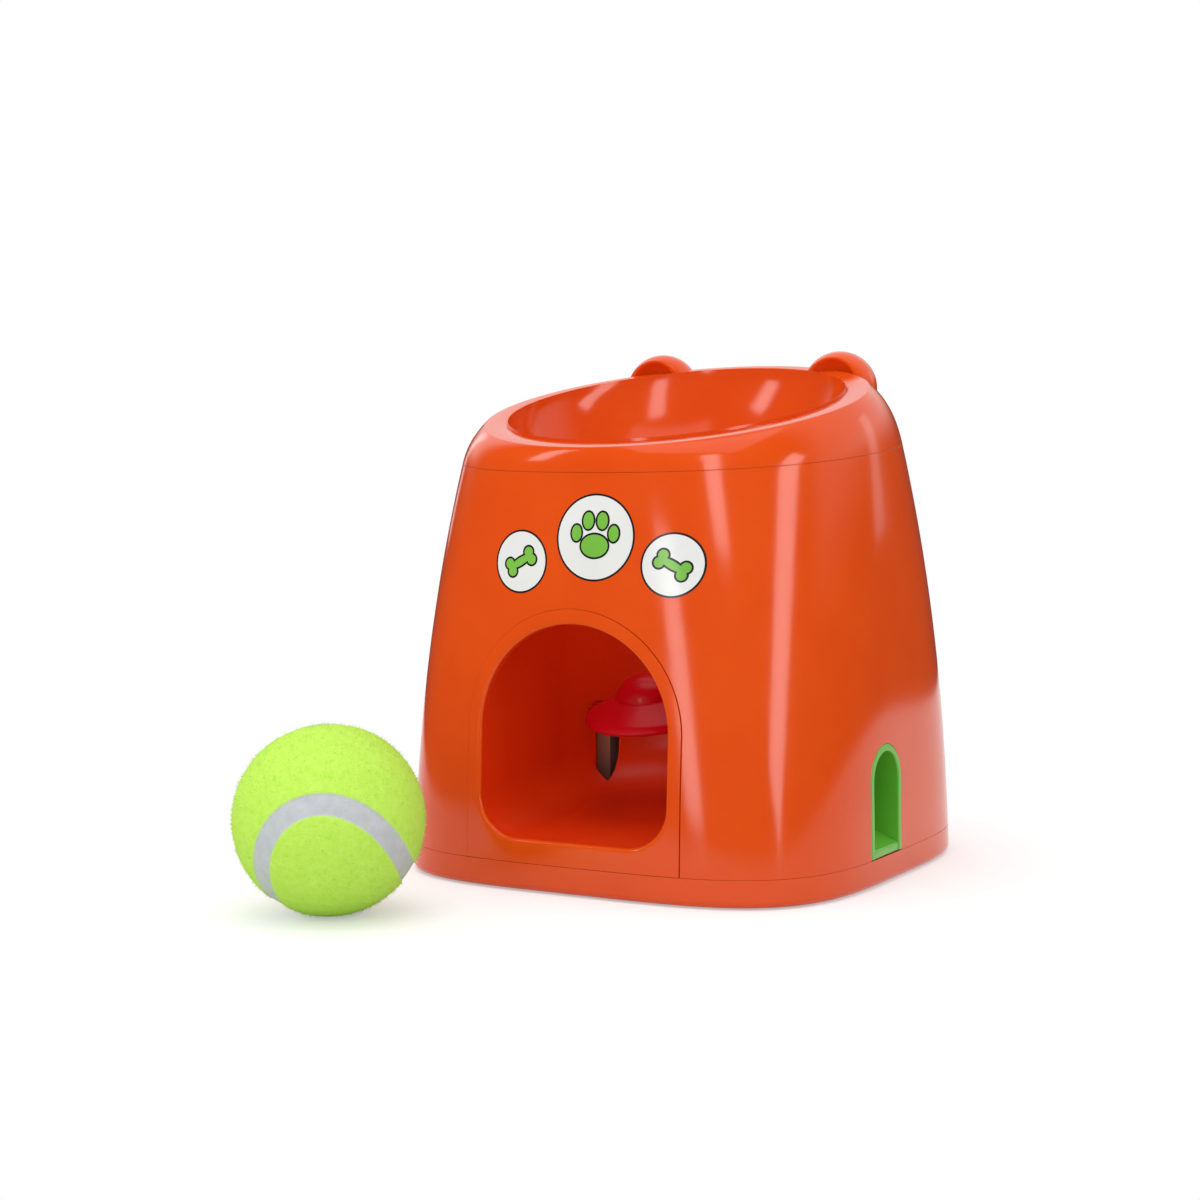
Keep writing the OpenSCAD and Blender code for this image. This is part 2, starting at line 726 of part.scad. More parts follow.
// Hopper: bin with sloping sides down to the spout over the flap
spout_x = chute_foot.x - spout_w / 2 - spout_shift;
spout_y = chute_y - spout_w / 2 + spout_back;
spout_z = axle_h + spout_over;
module bin_space(t) {
    past = t > 0 ? 0 : over;
    hull() {
        translate([tab_x + bin_t - t, bin_front + bin_t - t, bin_top - bin_straight])
            cube([bin_w - 2 * bin_t + 2 * t, bin_len - 2 * bin_t + 2 * t, bin_straight + past]);
        translate([spout_x - t, spout_y - t, spout_z - past])
            cube([spout_w + 2 * t, spout_w + 2 * t, spout_len + past]);
    }
}

module treat_hopper() color(grey) {
    difference() {
        union() {
            bin_space(bin_t);
            translate([tab_x, bin_front - tab_len, tab_z]) cube([bin_t, tab_len + over, tab_h]);
        }
        bin_space(0);
        for (s = tab_screws) translate([tab_x - over, s[0], s[1]])
            rotate([0, 90, 0]) cylinder(r = screw_r + snug, h = bin_t + 2 * over);
    }
}

module hopper_screws() color(steel)
    for (s = tab_screws) translate([tab_x + bin_t + head_h, s[0], s[1]])
        rotate([0, -90, 0]) screw(bin_t + tab_screw_bite);

// Lever: everything on the axle
hub_len = arm_t + hub_extra;
clip_left = bracket_left_x - bracket_t / 2 - fit - clip_t;
clip_right = flap_x1 + fit;
axle_x0 = clip_left - axle_end;
axle_x1 = clip_right + clip_t + axle_end;

// Solid cylinder along X on the axle's line
module on_axle(r, x0, x1) {
    translate([x0, axle_y, axle_h]) rotate([0, 90, 0]) cylinder(r = r, h = x1 - x0);
}

module lever_axle() color(steel) {
    difference() {
        on_axle(axle_r, axle_x0, axle_x1);
        for (x = [clip_left, clip_right]) difference() {
            on_axle(axle_r + over, x - snug, x + clip_t + snug);
            on_axle(axle_r - groove, x - over, x + clip_t + over);
        }
    }
}

module axle_clips() color(steel)
    for (x = [clip_left, clip_right]) difference() {
        on_axle(axle_r + clip_w, x, x + clip_t);
        on_axle(axle_r - groove + snug, x - over, x + clip_t + over);
        translate([x - over, axle_y - axle_r / 2, axle_h - 2 * axle_r])
            cube([clip_t + 2 * over, axle_r, 2 * axle_r]);
    }

module axle_bracket(x) {
    foot_w = 2 * (screw_r + foot_side);
    foot_l = bracket_foot + foot_w;
    difference() {
        union() {
            on_axle(axle_r + bush_t + bracket_wall, x - bracket_t / 2, x + bracket_t / 2);
            translate([x - bracket_t / 2, axle_y - hub_r, floor_top])
                cube([bracket_t, 2 * hub_r, axle_h - floor_top]);
            translate([x - foot_w / 2, axle_y - foot_l / 2, floor_top])
                cube([foot_w, foot_l, frame_screw_len]);
        }
        on_axle(axle_r + bush_t + snug, x - bracket_t, x + bracket_t);
        for (p = bracket_feet) if (p.x == x) pilot(p, frame_screw_len);
    }
}

module axle_bracket_left() color(grey) axle_bracket(bracket_left_x);

module axle_bracket_right() color(grey) axle_bracket(bracket_right_x);

module axle_bushings() color([0.78, 0.62, 0.30])
    for (x = [bracket_left_x, bracket_right_x]) difference() {
        on_axle(axle_r + bush_t, x - bracket_t / 2, x + bracket_t / 2);
        on_axle(axle_r + running, x - bracket_t, x + bracket_t);
    }

// Hole for the axle and hole for the grub screw, in a hub that is centred at x
module hub_holes(x, len) {
    on_axle(axle_r + snug, x - len, x + len);
    translate([x, axle_y, axle_h]) cylinder(r = screw_r + snug, h = hub_r + over);
}

// The paddle's own frame: brim centre, tilted to the front
module at_paddle() {
    translate([paddle_x, paddle_y, axle_h + paddle_over]) rotate([paddle_tilt, 0, 0]) children();
}

pad_mid = pad_back + pad_w / 2;
paddle_holes = [for (s = [-1, 1]) [s * paddle_screw_x, pad_mid]];

// Arm: plate from the hub to the slot, bar across to the paddle, pad under the brim
module paddle_arm() color(red) {
    arm_low = axle_h - arm_deep / 2;
    knee = [arm_x, shaft_y + sqrt(shaft_r * shaft_r - arm_x * arm_x) - knee_in];
    pad = [paddle_x - crown_r / 2, paddle_y + pad_mid * cos(paddle_tilt)];
    reach = pad - knee;
    difference() {
        union() {
            on_axle(hub_r, arm_x - hub_len / 2, arm_x + hub_len / 2);
            translate([arm_x - arm_t / 2, knee.y, arm_low]) cube([arm_t, axle_y - knee.y, arm_deep]);
            translate([knee.x, knee.y, arm_low + bar_lift]) rotate(atan2(reach.y, reach.x))
                translate([-arm_t / 2, -arm_t / 2, 0]) cube([norm(reach) + arm_t / 2, arm_t, bar_t]);
            at_paddle() translate([-crown_r, pad_back, -brim_t - bar_t]) cube([2 * crown_r, pad_w, bar_t]);
        }
        hub_holes(arm_x, hub_len);
        at_paddle() for (p = paddle_holes) translate([p.x, p.y, -brim_t - bar_t]) {
            translate([0, 0, -over]) cylinder(r = screw_r + snug, h = bar_t + 2 * over);
            translate([0, 0, -arm_deep]) cylinder(r = head_r + fit, h = arm_deep);
        }
    }
}

module strike_paddle() color(red) at_paddle() {
    profile = concat(
        [
            [0, -brim_t], [brim_r - brim_edge, -brim_t], [brim_r, -brim_t / 2], [brim_r - brim_edge, 0],
            [crown_r + crown_ledge, cone_h]
        ],
        [for (b = [0 : 10 : 90]) [crown_r * cos(b), cone_h + (crown_h - cone_h) * sin(b)]]
    );
    difference() {
        rotate_extrude() polygon(profile);
        for (p = paddle_holes) translate([p.x, p.y, -brim_t - over])
            cylinder(r = screw_r + snug, h = paddle_screw_bite + over + fit);
    }
}

module paddle_screws() color(steel) at_paddle()
    for (p = paddle_holes) translate([p.x, p.y, -brim_t - bar_t - head_h]) screw(bar_t + paddle_screw_bite);

flap_top = spout_z - flap_gap;
flap_front = spout_y - bin_t;
module treat_flap() color(grey) {
    mid = (flap_x0 + flap_x1) / 2;
    difference() {
        union() {
            on_axle(hub_r, flap_x0, flap_x1);
            translate([flap_x0, flap_front, flap_top - flap_t])
                cube([flap_x1 - flap_x0, axle_y - flap_front, flap_t]);
        }
        hub_holes(mid, flap_x1 - flap_x0);
    }
}

tab_under = axle_h - spring_tab_t / 2;
module spring_lever() color(grey) {
    difference() {
        union() {
            on_axle(hub_r, spring_x - hub_len / 2, spring_x + hub_len / 2);
            translate([spring_x - hub_len / 2, axle_y, tab_under])
                cube([hub_len, spring_reach, spring_tab_t]);
            translate([spring_at.x, spring_at.y, tab_under])
                cylinder(r = spring_d / 2 + tab_rim, h = spring_tab_t);
        }
        hub_holes(spring_x, hub_len);
    }
}

module hub_grub_screws() color(steel)
    for (x = [arm_x, spring_x, (flap_x0 + flap_x1) / 2])
        translate([x, axle_y, axle_h + axle_r + snug]) cylinder(r = screw_r, h = hub_r - axle_r - fit);

// Coil spring: points along the wire, then a tube swept along them
coil_r = (spring_d - wire_d) / 2;
coil_steps = 8;
coil_low = post_h + wire_d;
coil_high = tab_under - wire_d;
coil_n = spring_turns * coil_steps;
function coil_pt(i) =
    let (a = i * 360 / coil_steps)
    [spring_at.x + coil_r * cos(a), spring_at.y + coil_r * sin(a), mix(coil_low, coil_high, i / coil_n)];
wire_path = concat(
    [coil_pt(0) - [0, 0, wire_d]], [for (i = [0 : coil_n]) coil_pt(i)], [coil_pt(coil_n) + [0, 0, wire_d]]
);
function unit(v) = v / norm(v);
function wire_dir(i) =
    i == 0 || i == len(wire_path) - 1 ? [0, 0, 1] : unit(wire_path[i + 1] - wire_path[i - 1]);
function wire_ring(i) =
    let (
        d = wire_dir(i), out = unit([wire_path[i].x - spring_at.x, wire_path[i].y - spring_at.y, 0]),
        side = unit(out - d * (out * d)), up = cross(d, side)
    )
    [for (t = [0 : 60 : 300]) wire_path[i] + wire_d / 2 * (side * cos(t) + up * sin(t))];
coil_gap = min([
    for (i = [0 : coil_n - coil_steps / 2], j = [i + coil_steps / 2 : coil_n])
        norm(coil_pt(i) - coil_pt(j)) - wire_d
]);
echo(spring_least_gap = coil_gap);

module return_spring() color(steel) stack_skin([for (i = [0 : len(wire_path) - 1]) wire_ring(i)]);

module spring_post() color(grey) {
    difference() {
        translate([spring_at.x, spring_at.y, floor_top])
            cylinder(r = spring_d / 2 + post_rim, h = post_h - floor_top);
        pilot(spring_at, frame_screw_len);
    }
}

module at_ball() {
    translate([ball_x, ball_y, ball_d / 2]) children();
}

core_r = ball_d / 2 - felt_t;
module ball_felt() color(felt) at_ball() difference() {
    sphere(ball_d / 2);
    sphere(core_r + snug);
}

module ball_core() color(rubber) at_ball() difference() {
    sphere(core_r);
    sphere(core_r - core_t);
}

base_plate();
foot_pads();
base_screws();
frame_screws();
main_body();
mouth_panel();
funnel_top();
ball_shaft();
ball_ramp();
treat_chute();
treat_hopper();
hopper_screws();
lever_axle();
axle_bracket_left();
axle_bracket_right();
axle_bushings();
axle_clips();
paddle_arm();
strike_paddle();
paddle_screws();
treat_flap();
spring_lever();
hub_grub_screws();
return_spring();
spring_post();
ball_felt();
ball_core();
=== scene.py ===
# %% [markdown]
# # A treat dispenser that a dog works with a ball
# A ball dropped in the tilted bowl falls on a red paddle, the paddle opens a flap under the treats,
# and the ball rolls out of the arched mouth. The measured model already holds every piece at its real
# size and place. This lesson dresses it: it models the glossy shells, the rolled lip of the mouth,
# the paddle and the felt ball as finished meshes, gives every piece a finish, and lights the whole
# like a picture in a shop.

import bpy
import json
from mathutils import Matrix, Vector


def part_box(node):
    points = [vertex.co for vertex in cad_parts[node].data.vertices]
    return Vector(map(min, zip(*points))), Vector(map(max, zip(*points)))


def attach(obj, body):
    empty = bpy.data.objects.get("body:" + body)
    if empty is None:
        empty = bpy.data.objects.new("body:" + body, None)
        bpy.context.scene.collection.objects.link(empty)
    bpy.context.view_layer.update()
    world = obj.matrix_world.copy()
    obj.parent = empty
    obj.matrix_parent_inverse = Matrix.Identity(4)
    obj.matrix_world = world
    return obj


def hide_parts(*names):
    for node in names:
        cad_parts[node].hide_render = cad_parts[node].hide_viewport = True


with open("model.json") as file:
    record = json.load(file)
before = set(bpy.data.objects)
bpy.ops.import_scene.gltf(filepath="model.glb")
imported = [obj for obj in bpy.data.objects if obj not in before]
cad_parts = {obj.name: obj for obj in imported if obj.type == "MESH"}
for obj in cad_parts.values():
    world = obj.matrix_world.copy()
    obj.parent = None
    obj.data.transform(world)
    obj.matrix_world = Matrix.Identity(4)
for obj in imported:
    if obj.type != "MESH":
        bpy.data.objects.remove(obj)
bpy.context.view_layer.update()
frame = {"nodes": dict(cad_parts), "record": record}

# %% Tools and units
import json
import math
import random

import bmesh
import bpy
from mathutils import Matrix, Vector
from mathutils.kdtree import KDTree

MM = 0.001
TURN = 2 * math.pi


def placed(name, data):
    """Puts a mesh, a lamp or a camera into the scene as an object."""
    thing = bpy.data.objects.new(name, data)
    bpy.context.scene.collection.objects.link(thing)
    return thing


# %% [markdown]
# ## Camera
# The camera stands to the right of the front and a little above the bowl, with a long lens, as a
# product photographer would place it. It comes first, so that each later step is judged through it.

# %% Camera
CAMERA_PLACE = (0.40528, -0.77985, 0.16436)
CAMERA_TURN = 29.581
CAMERA_TILT = 85.714
CAMERA_ROLL = -0.294
LENS = 69.46

camera = placed("camera", bpy.data.cameras.new("camera"))
camera.data.lens = LENS
camera.data.sensor_width = 36
camera.matrix_world = (
    Matrix.Translation(CAMERA_PLACE)
    @ Matrix.Rotation(math.radians(CAMERA_TURN), 4, "Z")
    @ Matrix.Rotation(math.radians(CAMERA_TILT), 4, "X")
    @ Matrix.Rotation(math.radians(CAMERA_ROLL), 4, "Z")
)
bpy.context.scene.camera = camera
print("camera at", CAMERA_PLACE)

# %% [markdown]
# ## The shape of the housing
# The housing is a rounded square at the floor and almost a circle at the bowl. A superellipse does
# both: one number says how square it is, and that number falls with the height. All the shells below
# take their places from these few functions, so their seams meet.

# %% Plan of the housing
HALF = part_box("base_plate")[1].x
DRAW_IN = 12 * MM
DRAW_H = 170 * MM
DRAW_POWER = 2.36
SQUARE_LOW = 3.8
SQUARE_HIGH = 2.16
WALL = 2.8 * MM
SEAM_GAP = 0.08 * MM
FIT = 0.3 * MM


def half_at(z):
    return HALF - DRAW_IN * (max(z, 0) / DRAW_H) ** DRAW_POWER


def square_at(z):
    return SQUARE_LOW + (SQUARE_HIGH - SQUARE_LOW) * z / DRAW_H


def wall_radius(turn, z):
    n = square_at(z)
    return half_at(z) / (abs(math.cos(turn)) ** n + abs(math.sin(turn)) ** n) ** (1 / n)


def wall_point(turn, z, inset=0.0):
    r = wall_radius(turn, z) - inset
    return Vector((r * math.cos(turn), r * math.sin(turn), z))


def wall_depth(across, z):
    """How far the wall lies from the middle, straight ahead, at a distance across from the middle."""
    n, h = square_at(z), half_at(z)
    return h * (1 - (abs(across) / h) ** n) ** (1 / n)


# %% Seam and rim
SEAM_H = 154.6 * MM
SEAM_SLOPE = math.tan(math.radians(4.4))
RIM_H = SEAM_H + 18.1 * MM
RIM_Y = -7.4 * MM
RIM_TILT = math.radians(12.4)


def seam_point(turn, inset=0.0, lift=0.0):
    z = SEAM_H + wall_radius(turn, SEAM_H) * math.sin(turn) * SEAM_SLOPE
    p = wall_point(turn, z, inset)
    return Vector((p.x, p.y, SEAM_H + p.y * SEAM_SLOPE + lift))


def rim_point(turn, r):
    y = RIM_Y + r * math.cos(RIM_TILT) * math.sin(turn)
    return Vector((r * math.cos(turn), y, RIM_H + (y - RIM_Y) * math.tan(RIM_TILT)))


print("seam from", seam_point(-TURN / 4).z, "to", seam_point(TURN / 4).z)

# %% [markdown]
# ## Two helpers for shells
# Every shell here is a skin that goes once round the housing. `wrapped` spins a plain ladder of
# points through a full turn, which gives clean quads with no seam, and then moves each point to its
# place by its column and row. `finished` turns the mesh into a piece: it smooths it, keeps the real
# edges sharp, hangs it on the body it rides on, and hides the measured piece that it stands for.


# %% Wrap a skin round the axis
def wrapped(columns, rows, place, closed=True):
    bm = bmesh.new()
    ladder = [bm.verts.new((1, 0, i)) for i in range(rows)]
    pairs = list(zip(ladder, ladder[1:])) + ([(ladder[-1], ladder[0])] if closed else [])
    edges = [bm.edges.new(pair) for pair in pairs]
    bmesh.ops.spin(
        bm, geom=ladder + edges, cent=(0, 0, 0), axis=(0, 0, 1), angle=TURN, steps=columns, use_merge=True
    )
    level = {}
    for v in bm.verts:
        column = round(math.atan2(v.co.y, v.co.x) / TURN * columns) % columns
        level[v] = round(v.co.z)
        v.co = place(column, level[v])
    return bm, level


# %% Finish a piece
def mesh_from(name, bm):
    mesh = bpy.data.meshes.new(name)
    bm.to_mesh(mesh)
    bm.free()
    return mesh


def finished(name, bm, finish, body, stands_for=(), sharp=38):
    bmesh.ops.remove_doubles(bm, verts=bm.verts, dist=1e-6)
    bmesh.ops.recalc_face_normals(bm, faces=bm.faces)
    mesh = mesh_from(name, bm)
    mesh.shade_smooth()
    mesh.set_sharp_from_angle(angle=math.radians(sharp))
    mesh.materials.append(finish)
    piece = placed(name, mesh)
    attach(piece, body)
    if stands_for:
        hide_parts(*stands_for)
    return piece


def soften(piece, width, segments=2, limit=50):
    edge = piece.modifiers.new("edge", "BEVEL")
    edge.width = width
    edge.segments = segments
    edge.limit_method = "ANGLE"
    edge.angle_limit = math.radians(limit)
    edge.use_clamp_overlap = True
    even_out(piece)


def even_out(piece):
    """Lets the large faces rule the shading, so that flat ones look flat."""
    even = piece.modifiers.new("even", "WEIGHTED_NORMAL")
    even.keep_sharp = True


# %% [markdown]
# ## Finishes
# Moulded plastic is never one flat colour: the dye drifts a little, and the skin of the mould leaves
# a soft ripple that breaks the edges of the highlights. Each plastic below mixes two near colours
# with broad noise, varies its roughness and adds a very small bump. All patterns are on object
# coordinates, in metres, so they keep their scale on every piece.


# %% Colours and node helpers
def srgb(red, green, blue):
    """A screen colour from 0 to 255 as the linear colour that a shader wants."""
    def linear(c):
        c /= 255
        return c / 12.92 if c <= 0.04045 else ((c + 0.055) / 1.055) ** 2.4
    return (linear(red), linear(green), linear(blue), 1)


def new_finish(name):
    material = bpy.data.materials.new(name)
    material.use_nodes = True
    shader = material.node_tree.nodes["Principled BSDF"]
    return material, shader, material.node_tree


def fill(tree, node, values):
    """Fills a node's inputs: the output of another node is linked, anything else is set."""
    for name, value in values.items():
        if isinstance(value, bpy.types.NodeSocket):
            tree.links.new(value, node.inputs[name])
        else:
            node.inputs[name].default_value = value


def add_node(tree, kind, values=None, **settings):
    node = tree.nodes.new("ShaderNode" + kind)
    for name, value in settings.items():
        setattr(node, name, value)
    fill(tree, node, values or {})
    return node


def noise_on(tree, scale, detail=3.0):
    place = add_node(tree, "TexCoord").outputs["Object"]
    return add_node(tree, "TexNoise", {"Vector": place, "Scale": scale, "Detail": detail}).outputs["Fac"]


def blend_colours(tree, factor, low, high):
    ramp = add_node(tree, "ValToRGB", {"Fac": factor})
    for stop, position, colour in zip(ramp.color_ramp.elements, (0.3, 0.7), (low, high)):
        stop.position = position
        stop.color = colour
    return ramp.outputs["Color"]


def spread(tree, factor, low, high):
    return add_node(tree, "MapRange", {"Value": factor, "To Min": low, "To Max": high}).outputs["Result"]


def bump_on(tree, height, strength, distance):
    values = {"Height": height, "Strength": strength, "Distance": distance}
    return add_node(tree, "Bump", values).outputs["Normal"]


# %% Moulded plastics
def moulded(name, low, high, rough, ripple=0.05, grain=900.0, specular=0.5):
    material, shader, tree = new_finish(name)
    fill(tree, shader, {
        "Base Color": blend_colours(tree, noise_on(tree, 35), low, high),
        "Roughness": spread(tree, noise_on(tree, 120), *rough),
        "Normal": bump_on(tree, noise_on(tree, grain), ripple, 0.05 * MM),
        "Specular IOR Level": specular
    })
    return material


orange = moulded("orange_gloss", srgb(234, 78, 12), srgb(238, 84, 16), (0.10, 0.15), specular=0.36)
# A darker, redder copy of the orange plastic for the walls inside the mouth: painted shade, standing for
# the weaker light there, coloured by the orange around it.
orange_painted_shade = moulded("orange_painted_shade", srgb(230, 54, 4), srgb(234, 60, 8), (0.3, 0.4), specular=0.22)
green = moulded("green_gloss", srgb(100, 186, 52), srgb(108, 194, 60), (0.20, 0.28))
red = moulded("red_gloss", srgb(204, 8, 22), srgb(212, 12, 28), (0.2, 0.28), specular=0.18)
grey = moulded("grey_matt", srgb(150, 152, 156), srgb(164, 166, 170), (0.45, 0.58), ripple=0.2)
white_print = moulded("white_print", srgb(238, 238, 236), srgb(244, 244, 242), (0.16, 0.22))
black_print = moulded("black_print", srgb(22, 22, 24), srgb(34, 33, 34), (0.18, 0.26))
green_print = moulded("green_print", srgb(118, 190, 62), srgb(134, 204, 78), (0.16, 0.24))
rubber = moulded("foot_rubber", srgb(34, 34, 36), srgb(48, 48, 50), (0.6, 0.75), ripple=0.4)
print("plastics", len(bpy.data.materials))

# %% [markdown]
# ## Base tray
# The base is a shallow tray. Its lower edge is rounded, its upper edge meets the body in a fine seam,
# and a lip inside locates the body. It is wrapped as one profile and its two round openings are
# filled. The seats of the pads and screws are then cut from below, because they can be seen when the
# dispenser is turned over.

# %% Base sizes
BASE_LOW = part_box("base_plate")[0].z
BASE_H = 10.5 * MM
BASE_TOP = BASE_H - SEAM_GAP
BASE_EDGE = 2.4 * MM
FLOOR_TOP = BASE_LOW + 3 * MM
LIP_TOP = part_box("base_plate")[1].z
LIP_IN = WALL + FIT
LIP_T = 1.8 * MM
FLOOR_IN = 30 * MM
EDGE_IN = 8 * MM
COLUMNS = 240

base_profile = [(FLOOR_IN, BASE_LOW), (EDGE_IN, BASE_LOW)]
for i in range(7):
    bend = i / 6 * TURN / 4
    base_profile.append((BASE_EDGE * (1 - math.sin(bend)), BASE_LOW + BASE_EDGE * (1 - math.cos(bend))))
base_profile += [(0, BASE_LOW + (BASE_TOP - BASE_LOW) * share) for share in (0.45, 0.65, 0.85, 1)]
base_profile += [(WALL, BASE_TOP), (WALL, FLOOR_TOP), (LIP_IN, FLOOR_TOP), (LIP_IN, LIP_TOP)]
base_profile += [(LIP_IN + LIP_T, LIP_TOP), (LIP_IN + LIP_T, FLOOR_TOP), (FLOOR_IN, FLOOR_TOP)]


def base_place(column, row):
    inset, z = base_profile[row]
    return wall_point(column / COLUMNS * TURN, z, inset)


base_bm, _ = wrapped(COLUMNS, len(base_profile), base_place, closed=False)
bmesh.ops.holes_fill(base_bm, edges=[e for e in base_bm.edges if e.is_boundary], sides=0)
print("base profile", len(base_profile), "points")

# %% Places of the screws and pads
AXLE_Y = 12 * MM
SHAFT_Y = -32 * MM
SHAFT_R = 37 * MM
SHAFT_OUT = SHAFT_R + 2.5 * MM
BOSS_R = 5.5 * MM
BOSS_TOP = 30 * MM
HEAD_R = 3.1 * MM
HEAD_DEEP = 1.5 * MM
CORNER = (wall_radius(TURN / 8, BOSS_TOP) - WALL - BOSS_R + 0.8 * MM) / math.sqrt(2)
PAD_AT = CORNER - 10.9 * MM
PAD_R = 9 * MM
PAD_DEEP = 1.6 * MM
SIDE_FOOT_Y = -42 * MM
BRACKET_FOOT = 10 * MM
SPRING_X, SPRING_BACK = 26 * MM, 18 * MM
CHUTE_FOOT = 10.75 * MM
CHUTE_Y = -15.75 * MM
corners = [(x * CORNER, y * CORNER) for x in (-1, 1) for y in (-1, 1)]
pads = [(x * PAD_AT, y * PAD_AT) for x in (-1, 1) for y in (-1, 1)]
shaft_feet = [(side * (SHAFT_OUT + BOSS_R), SIDE_FOOT_Y) for side in (-1, 1)]
shaft_feet.append((0, SHAFT_Y + SHAFT_OUT + BOSS_R))
bracket_x = [sum(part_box(n)[i].x for i in (0, 1)) / 2 for n in ("axle_bracket_left", "axle_bracket_right")]
bracket_feet = [(x, AXLE_Y + y) for x in bracket_x for y in (-BRACKET_FOOT, BRACKET_FOOT)]
spring_foot = [(SPRING_X, AXLE_Y + SPRING_BACK)]
chute_foot = [(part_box("treat_chute")[0].x + CHUTE_FOOT, CHUTE_Y)]
screw_places = corners + shaft_feet + bracket_feet + spring_foot + chute_foot
print("screws", len(screw_places), "and pads", len(pads))


# %% Cut the seats from below
def add_drum(bm, x, y, z0, z1, radius, segments=32):
    bmesh.ops.create_cone(
        bm, cap_ends=True, segments=segments, radius1=radius, radius2=radius, depth=z1 - z0,
        matrix=Matrix.Translation((x, y, (z0 + z1) / 2))
    )


def cut_away(piece, cutter_bm):
    """Takes the cutter's solids out of a piece and keeps the result as its mesh."""
    bmesh.ops.recalc_face_normals(cutter_bm, faces=cutter_bm.faces)
    cutter = placed("cutter", mesh_from("cutter", cutter_bm))
    cut = piece.modifiers.new("cut", "BOOLEAN")
    cut.object = cutter
    cut.solver = "EXACT"
    bpy.context.view_layer.update()
    shaped = bpy.data.meshes.new_from_object(piece.evaluated_get(bpy.context.evaluated_depsgraph_get()))
    piece.modifiers.clear()
    piece.data = shaped
    bpy.data.objects.remove(cutter)


base_tray = finished("base_tray", base_bm, orange, "housing", ["base_plate"])
seats = bmesh.new()
for x, y in screw_places:
    add_drum(seats, x, y, -MM, BASE_LOW + HEAD_DEEP, HEAD_R + FIT)
for x, y in pads:
    add_drum(seats, x, y, -MM, BASE_LOW + PAD_DEEP, PAD_R + FIT, 48)
cut_away(base_tray, seats)
soften(base_tray, 0.1 * MM)
print("base tray", len(base_tray.data.polygons), "faces")

# %% [markdown]
# ## Body shell
# The body is a plain wall with two arched openings: a large one in front for the mouth panel and a
# small one at the side for the treat chute. Cutting them with a Boolean would leave long thin faces
# that spoil the reflections on a glossy wall. So a block of faces is taken out instead, its border is
# extruded, and the new edge is moved to the arch: the quads then follow the outline.

# %% Arched openings
ARCH_Z = 58 * MM
JAMB = SHAFT_R + 0.5 * MM
PANEL_X = JAMB + 5.5 * MM
CHUTE_HALF = 13.25 * MM
CHUTE_ARCH_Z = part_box("treat_chute")[1].z - CHUTE_HALF


def arch_edge(across, z, arch_z, half):
    """The point of an arch's outline that lies nearest to a point beside or above it."""
    if z <= arch_z:
        return math.copysign(half, across), z
    reach = math.hypot(across, z - arch_z)
    return across * half / reach, arch_z + (z - arch_z) * half / reach


def points_of(made):
    """The points among the things that an operator made."""
    return [g for g in made if isinstance(g, bmesh.types.BMVert)]


def cut_arch(bm, inside, axis, sign, middle, arch_z, half, rings=5):
    for e in bm.edges:
        e.tag = e.is_boundary
    block = [f for f in bm.faces if all(inside(v.co) for v in f.verts)]
    bmesh.ops.delete(bm, geom=block, context="FACES")
    border = [e for e in bm.edges if e.is_boundary and not e.tag]
    made = bmesh.ops.extrude_edge_only(bm, edges=border)["geom"]
    rim = set(points_of(made))
    for v in rim:
        across, v.co.z = arch_edge(v.co[1 - axis] - middle, v.co.z, arch_z, half)
        v.co[1 - axis] = middle + across
    spokes = [e for e in bm.edges if len(rim.intersection(e.verts)) == 1]
    bmesh.ops.subdivide_edges(bm, edges=spokes, cuts=rings)
    for v in bm.verts:
        if inside(v.co):
            v.co[axis] = sign * wall_depth(v.co[1 - axis], v.co.z)


# %% Body shell
BODY_ROWS = 56
FRONT_BLOCK = (36.5, 111 * MM)
SIDE_BLOCK = (-27.5, 6.5, 66 * MM)


def body_place(column, row):
    turn = column / COLUMNS * TURN
    top = seam_point(turn)
    if row == BODY_ROWS - 1:
        return top
    return wall_point(turn, BASE_H + (top.z - BASE_H) * row / (BODY_ROWS - 1))


def degrees_round(co):
    return math.degrees(math.atan2(co.y, co.x))


def in_front_block(co):
    return abs(degrees_round(co) + 90) < FRONT_BLOCK[0] and co.z < FRONT_BLOCK[1]


def in_side_block(co):
    return SIDE_BLOCK[0] < degrees_round(co) < SIDE_BLOCK[1] and co.z < SIDE_BLOCK[2]


def thicken(piece, thickness, outward=False):
    wall = piece.modifiers.new("wall", "SOLIDIFY")
    wall.thickness = thickness
    wall.offset = 1 if outward else -1
    wall.use_even_offset = True


body_bm, _ = wrapped(COLUMNS, BODY_ROWS, body_place, closed=False)
cut_arch(body_bm, in_front_block, 1, -1, 0.0, ARCH_Z, PANEL_X + SEAM_GAP)
cut_arch(body_bm, in_side_block, 0, 1, CHUTE_Y, CHUTE_ARCH_Z, CHUTE_HALF + SEAM_GAP)
body_shell = finished("body_shell", body_bm, orange, "housing", ["main_body"])
thicken(body_shell, WALL)
soften(body_shell, 0.1 * MM)
print("body shell", len(body_shell.data.polygons), "faces")

# %% Corner posts inside the body
posts_bm = bmesh.new()
for x, y in corners:
    add_drum(posts_bm, x, y, FLOOR_TOP, BOSS_TOP, BOSS_R)
corner_posts = finished("corner_posts", posts_bm, orange, "housing")
soften(corner_posts, 0.4 * MM)
print("corner posts", len(corners))

# %% [markdown]
# ## Mouth panel
# The mouth has a frame of its own, set flush in the body, and its edge rolls inwards in a quarter
# round. The skin is wrapped round the middle of the arch. Its columns are not evenly spaced: they are
# gathered so that one falls exactly on each lower corner.

# %% Mouth panel
SILL = 19 * MM
SILL_R = 15 * MM
PANEL_LOW = BASE_H + SEAM_GAP
LIP_R = 1.6 * MM
LIP_END = LIP_R + 2.4 * MM
INNER_FROM = 0.8 * LIP_R
PANEL_T = 2.4 * MM
PANEL_OFF = 0.35 * MM
LIP_ROWS = 10
FRAME_ROWS = 4


